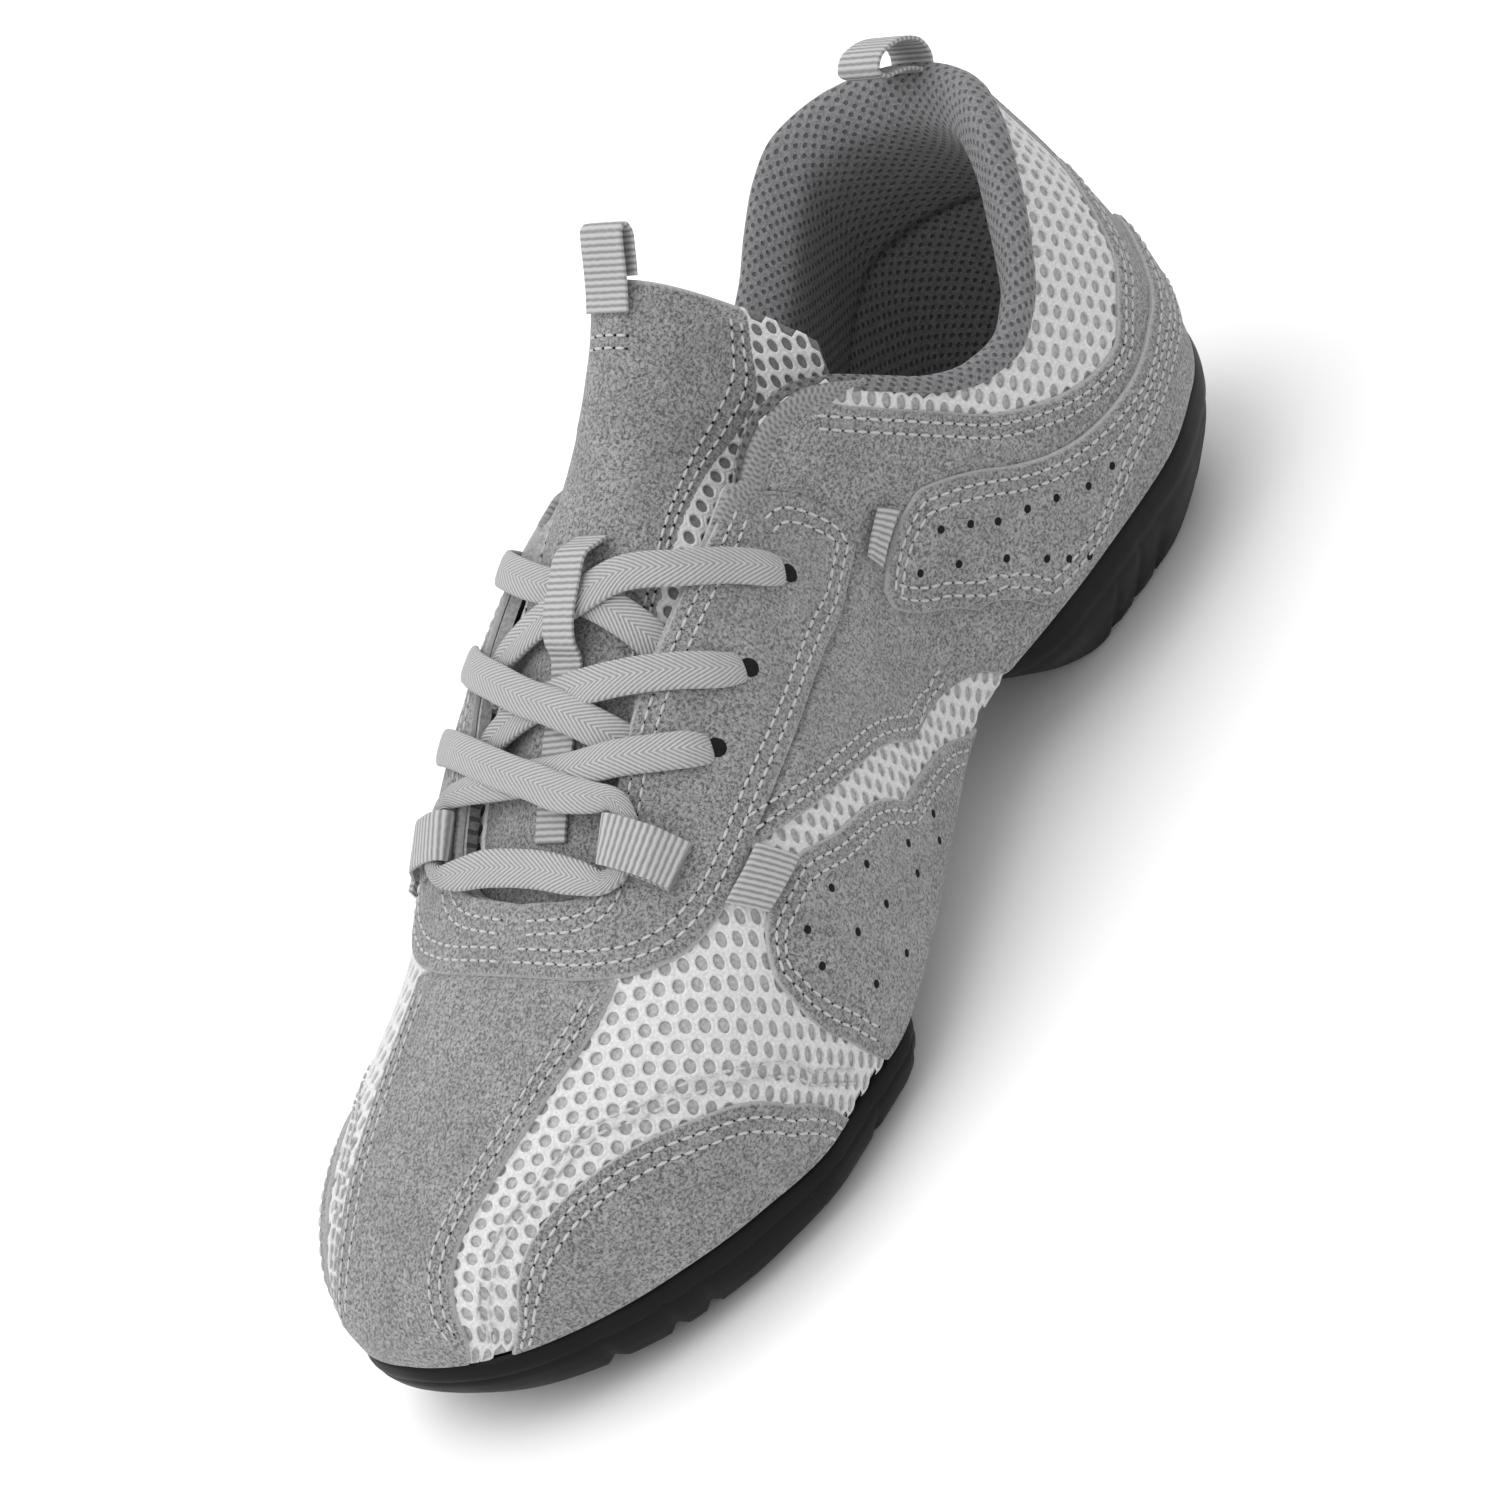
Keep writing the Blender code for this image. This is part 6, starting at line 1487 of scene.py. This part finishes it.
# Each sewn edge, its rows' distances from it in mm, and how high the thread lies
SEAMS = (
    (EYESTAY_OUTER, (-2.6, -5.0), SUEDE_HIGH),
    (THROAT_LINE, (3.2, 5.6), SUEDE_HIGH),
    (TOE_SIDE_TOP, (2.2, 4.3), SUEDE_HIGH),
    (ARCH_TOP, (2.2, 4.3), SUEDE_HIGH),
    (QUARTER_LOW[:6], (2.0, 4.2), SUEDE_HIGH),
    (QUARTER_TOP[10:], (-1.8, -3.8), SUEDE_HIGH),
    (REAR_TOP, (-2.0, -4.0), UPPER_HIGH),
    (REAR_LOW, (2.0, 4.0), UPPER_HIGH),
)
TOE_SEAM = ((0.716, 0.700), (0.753, 0.478), (0.783, 0.400), (0.811, 0.340), (0.840, 0.290), (0.862, 0.240),
            (0.880, 0.225), (0.900, 0.218), (0.930, 0.210), (0.945, 0.220), (0.966, 0.265), (0.980, 0.387),
            (0.985, 0.613))
REAR_HOLES = ((0.349, 0.443), (0.330, 0.458), (0.313, 0.472), (0.290, 0.482), (0.267, 0.492), (0.240, 0.515),
              (0.214, 0.552), (0.382, 0.450), (0.354, 0.470), (0.324, 0.492), (0.300, 0.570), (0.286, 0.655),
              (0.271, 0.745))
ARCH_HOLES = ((0.514, 0.660), (0.557, 0.530), (0.604, 0.462), (0.643, 0.420), (0.680, 0.403), (0.525, 0.738),
              (0.568, 0.613), (0.613, 0.495), (0.651, 0.468), (0.691, 0.440), (0.625, 0.655), (0.666, 0.535))


def seam_lines(side):
    """Every sewn line of one side as (line, lift)."""
    lines = []
    for edge, offsets, lift in SEAMS:
        lines += [(offset_line(edge, mm), lift) for mm in offsets]
    strip = STRIP_EDGE[1:11] if side > 0 else tuple((a, -c) for a, c in STRIP_EDGE_MEDIAL[1:11])
    lines += [(offset_line(strip, mm), SUEDE_HIGH) for mm in (-2.2, -4.6)]
    lines += [(offset_line(TOE_SEAM, mm), MESH_SEAM_HIGH) for mm in (0.0, 2.0)]
    return lines


def sew(word, slot, stitches, holes):
    """Lock stitches: plump threads on top, between small needle holes whose darkness is painted shade."""
    look = bpy.context.scene.sneaker
    piece = repeat("stitches_" + word, *stitches, bead("stitch"), MATERIALS["sewing_thread"],
                   (look.stitch_length, *STITCH_SECTION))
    dress(piece, slot=slot)
    # Real needle holes, drawn as dark beads of painted shade
    piece = repeat("needle_holes_" + word, *holes, bead("hole", 8, 4), MATERIALS["painted_hole_shade"], NEEDLE_HOLE_SHADE)
    dress(piece, slot=slot)


def joined(parts):
    """Several rows of places, directions and normals as one."""
    return [np.concatenate([part[k] for part in parts]) for k in range(3)]


def stitching():
    """Every seam of the upper."""
    pitch = bpy.context.scene.sneaker.stitch_pitch
    for side, word in ((1, "lateral"), (-1, "medial")):
        threads, holes = [], []
        for line, lift in seam_lines(side):
            threads.append(along_line(line, side, lift + 0.00005, pitch))
            # Painted shade of the needle holes between the stitches; the mesh seam has none
            if lift > MESH_SEAM_HIGH:
                holes.append(along_line(line, side, lift - 0.00012, pitch, (0.002 + pitch / 2, 0.002)))
        sew(word, "eyestay", joined(threads), joined(holes))


def tongue_stitching():
    """Rows along the tongue's suede edges and the small box that holds its loop."""
    pitch = bpy.context.scene.sneaker.stitch_pitch
    rows = [(np.linspace(0.356, 0.60, 300), np.full(300, side * share)) for side in (1, -1)
            for share in (0.675, 0.625)]
    rows += [(np.full(40, at), np.linspace(-0.17, 0.17, 40)) for at in (0.3845, 0.3925)]
    threads = []
    for at, share in rows:
        top, up = tongue_surface(at, share)
        run = lengths(top[:, None], 0)[:, 0]
        stops = np.arange(0.001, run[-1] - 0.001, pitch)
        place, facing, ahead = (np.stack([np.interp(stops + shift, run, field[:, k]) for k in range(3)], -1)
                                for field, shift in ((top, 0), (up, 0), (top, 0.0003)))
        threads.append((place + facing * 0.0001, ahead - place, facing))
    place, ahead, facing = joined(threads)
    ahead /= np.linalg.norm(ahead, axis=1, keepdims=True)
    # Painted shade of the needle holes, halfway between the stitches
    between = place + ahead * pitch / 2 - facing * 0.0001
    sew("tongue", "tongue", (place, ahead, facing), (between, ahead, facing))


def punched_holes():
    """Small round vents in the rear and arch panels, and the lace eyelets, each a dark bead of painted shade
    inside the hole.
    """
    for side, word in ((1, "lateral"), (-1, "medial")):
        vents = [(a, c, UPPER_HIGH) for a, c in REAR_HOLES] + [(a, c, SUEDE_HIGH) for a, c in ARCH_HOLES]
        eyelets = [(a, c, SUEDE_HIGH) for a, c in EYELETS_AT]
        for name, some, width in (("vents_", vents, VENT_WIDTH), ("eyelets_", eyelets, EYELET_WIDTH)):
            at, across, lift = np.array(some).T
            base, normal = frame_at(at, side * across)
            ahead = frame_at(at + 0.003, side * across)[0] - base
            ahead /= np.linalg.norm(ahead, axis=1, keepdims=True)
            # Each vent or eyelet: a dark bead, painted shade inside the hole
            piece = repeat(name + word, base + normal * (lift - 0.0001)[:, None], ahead, normal,
                           bead("vent", 16, 6), MATERIALS["painted_hole_shade"], (width, width, HOLE_DEPTH))
            dress(piece, slot="eyestay")


# Stage

def stage():
    """Pale floor, soft studio lights and the camera at the photograph's angle."""
    mesh = bpy.data.meshes.new("floor")
    corners = [(x * FLOOR_HALF, y * FLOOR_HALF, 0) for x, y in ((-1, -1), (1, -1), (1, 1), (-1, 1))]
    mesh.from_pydata(corners, [], [(0, 1, 2, 3)])
    floor = bpy.data.objects.new("floor", mesh)
    bpy.context.scene.collection.objects.link(floor)
    _, surface, _, _ = shader("studio_floor", 0.9, specular=0.1)
    surface.inputs["Base Color"].default_value = colour("#f7f7f7")
    mesh.materials.append(MATERIALS["studio_floor"])
    world = bpy.data.worlds.new("studio")
    world.use_nodes = True
    world.node_tree.nodes["Background"].inputs[0].default_value = (1, 1, 1, 1)
    world.node_tree.nodes["Background"].inputs[1].default_value = WORLD_LIGHT
    bpy.context.scene.world = world
    for name, (spot, power, wide) in LIGHTS.items():
        light = bpy.data.lights.new(name, "AREA")
        light.energy, light.size = power, wide
        lamp = bpy.data.objects.new(name, light)
        bpy.context.scene.collection.objects.link(lamp)
        lamp.location = spot
        lamp.rotation_mode = "QUATERNION"
        lamp.rotation_quaternion = (LIT_POINT - Vector(spot)).to_track_quat("-Z", "Y")
    lens = bpy.data.cameras.new("camera")
    lens.sensor_width, lens.lens = 36.0, CAMERA_LENS
    lens.clip_start, lens.clip_end = 0.05, 20.0
    camera = bpy.data.objects.new("camera", lens)
    bpy.context.scene.collection.objects.link(camera)
    right, down, ahead = (Vector(v) for v in CAMERA_AXES)
    turn = Matrix((right, -down, -ahead)).transposed()
    camera.matrix_world = Matrix.Translation(CAMERA_AT) @ turn.to_4x4()
    bpy.context.scene.camera = camera
    bpy.context.scene.view_settings.view_transform = "Standard"


# Add-on

def shade(name, description, hex_text):
    """A colour that the panel holds."""
    return bpy.props.FloatVectorProperty(name=name, description=description, subtype="COLOR", size=4, min=0,
                                         max=1, default=colour(hex_text))


def length(name, description, low, high, usual):
    """A length that the panel holds, in metres."""
    return bpy.props.FloatProperty(name=name, description=description, subtype="DISTANCE", unit="LENGTH",
                                   min=low, max=high, default=usual)


class SneakerLook(bpy.types.PropertyGroup):
    """Sizes and colours of the shoe's finish."""
    suede: shade("Suede", "Suede between its nap's tips", "#8a8a8a")
    suede_dark: shade("Suede shade", "Suede stroked the dark way", "#4e4e4e")
    suede_light: shade("Suede nap", "Tips of the suede's nap", "#b6b6b6")
    suede_edge: shade("Suede edge", "Cut edges of the suede", "#b2b2b2")
    mesh: shade("Mesh", "Yarn of the open spacer mesh", "#d2d2d2")
    backing: shade("Backing", "Knit seen through the mesh's holes", "#b4b4b4")
    lining: shade("Lining", "Knit of the collar and the inside", "#828284")
    binding: shade("Binding", "Knitted tape round the throat", "#8e8e8e")
    rubber: shade("Rubber", "Both soles", "#090909")
    webbing: shade("Webbing", "Loops, tabs and lace keeper", "#b0b0b0")
    lace: shade("Lace", "Flat lace", "#b6b6b6")
    thread: shade("Thread", "Stitching", "#bcbcbc")
    # Painted shade inside the needle holes, vents and eyelets
    hole: shade("Hole", "Dark inside of holes", "#1a1a1a")
    mesh_pitch: length("Mesh pitch", "Hole to hole along the mesh", 0.002, 0.008, 0.0038)
    mesh_hole: length("Mesh hole", "Width of one hole of the mesh", 0.0008, 0.004, 0.0025)
    stitch_pitch: length("Stitch pitch", "Stitch to stitch along a seam", 0.0015, 0.006, 0.0027)
    stitch_length: length("Stitch", "Thread seen in one stitch", 0.001, 0.005, 0.0021)
    lace_width: length("Lace width", "Width of the flat lace", 0.004, 0.012, LACE_WIDTH)


class SNEAKER_OT_finishes(bpy.types.Operator):
    """Mix the suede, mesh, knit, webbing and rubber finishes"""
    bl_idname = "sneaker.finishes"
    bl_label = "Finishes"

    def execute(self, context):
        make_finishes()
        return {"FINISHED"}


class SNEAKER_OT_stage(bpy.types.Operator):
    """Set the pale floor, the soft lights and the camera"""
    bl_idname = "sneaker.stage"
    bl_label = "Floor, lights and camera"

    def execute(self, context):
        stage()
        return {"FINISHED"}


class SNEAKER_OT_upper(bpy.types.Operator):
    """Line the upper and cover its open parts with spacer mesh"""
    bl_idname = "sneaker.upper"
    bl_label = "Lined upper and mesh"

    def execute(self, context):
        upper_shell()
        waist_floor()
        spacer_mesh()
        return {"FINISHED"}


class SNEAKER_OT_suede(bpy.types.Operator):
    """Lay the cut suede panels"""
    bl_idname = "sneaker.suede"
    bl_label = "Suede panels"

    def execute(self, context):
        suede_panels()
        return {"FINISHED"}


class SNEAKER_OT_soles(bpy.types.Operator):
    """Mould the heel and forefoot soles"""
    bl_idname = "sneaker.soles"
    bl_label = "Split sole"

    def execute(self, context):
        rubber_soles()
        return {"FINISHED"}


class SNEAKER_OT_padding(bpy.types.Operator):
    """Make the footbed, the collar roll and the tongue"""
    bl_idname = "sneaker.padding"
    bl_label = "Footbed, collar and tongue"

    def execute(self, context):
        footbed()
        collar_roll()
        tongue_pad()
        return {"FINISHED"}


class SNEAKER_OT_webbing(bpy.types.Operator):
    """Sew on the webbing tabs, loops, lace keeper and the throat's binding"""
    bl_idname = "sneaker.webbing"
    bl_label = "Webbing and binding"

    def execute(self, context):
        webbing_tabs()
        loops()
        edge_binding()
        return {"FINISHED"}


class SNEAKER_OT_laces(bpy.types.Operator):
    """Run the flat lace through its eyelets and loops"""
    bl_idname = "sneaker.laces"
    bl_label = "Lace"

    def execute(self, context):
        flat_laces()
        return {"FINISHED"}


class SNEAKER_OT_stitching(bpy.types.Operator):
    """Sew the seams and punch the vents and eyelets"""
    bl_idname = "sneaker.stitching"
    bl_label = "Stitching and holes"

    def execute(self, context):
        stitching()
        tongue_stitching()
        punched_holes()
        return {"FINISHED"}


OPERATORS = (SNEAKER_OT_finishes, SNEAKER_OT_stage, SNEAKER_OT_upper, SNEAKER_OT_suede, SNEAKER_OT_soles,
             SNEAKER_OT_padding, SNEAKER_OT_webbing, SNEAKER_OT_laces, SNEAKER_OT_stitching)


class SNEAKER_PT_panel(bpy.types.Panel):
    """Sneaker pieces, in the order they are made"""
    bl_idname = "SNEAKER_PT_panel"
    bl_label = "Sneaker"
    bl_space_type = "VIEW_3D"
    bl_region_type = "UI"
    bl_category = "Sneaker"

    def draw(self, context):
        look = context.scene.sneaker
        for name in SneakerLook.__annotations__:
            self.layout.prop(look, name)
        for step in OPERATORS:
            self.layout.operator(step.bl_idname)


CLASSES = (SneakerLook,) + OPERATORS + (SNEAKER_PT_panel,)


def register():
    for one in CLASSES:
        bpy.utils.register_class(one)
    bpy.types.Scene.sneaker = bpy.props.PointerProperty(type=SneakerLook, name="Sneaker",
                                                        description="Looks of the dance sneaker")


def unregister():
    del bpy.types.Scene.sneaker
    for one in reversed(CLASSES):
        bpy.utils.unregister_class(one)


def main():
    """Dress the shoe."""
    register()
    for name in ("Cube", "Light", "Camera"):
        if name in bpy.data.objects:
            bpy.data.objects.remove(bpy.data.objects[name])
    bpy.ops.sneaker.finishes()
    bpy.ops.sneaker.stage()
    bpy.ops.sneaker.upper()
    bpy.ops.sneaker.suede()
    bpy.ops.sneaker.soles()
    bpy.ops.sneaker.padding()
    bpy.ops.sneaker.webbing()
    bpy.ops.sneaker.laces()
    bpy.ops.sneaker.stitching()


if __name__ == "__main__":
    main()
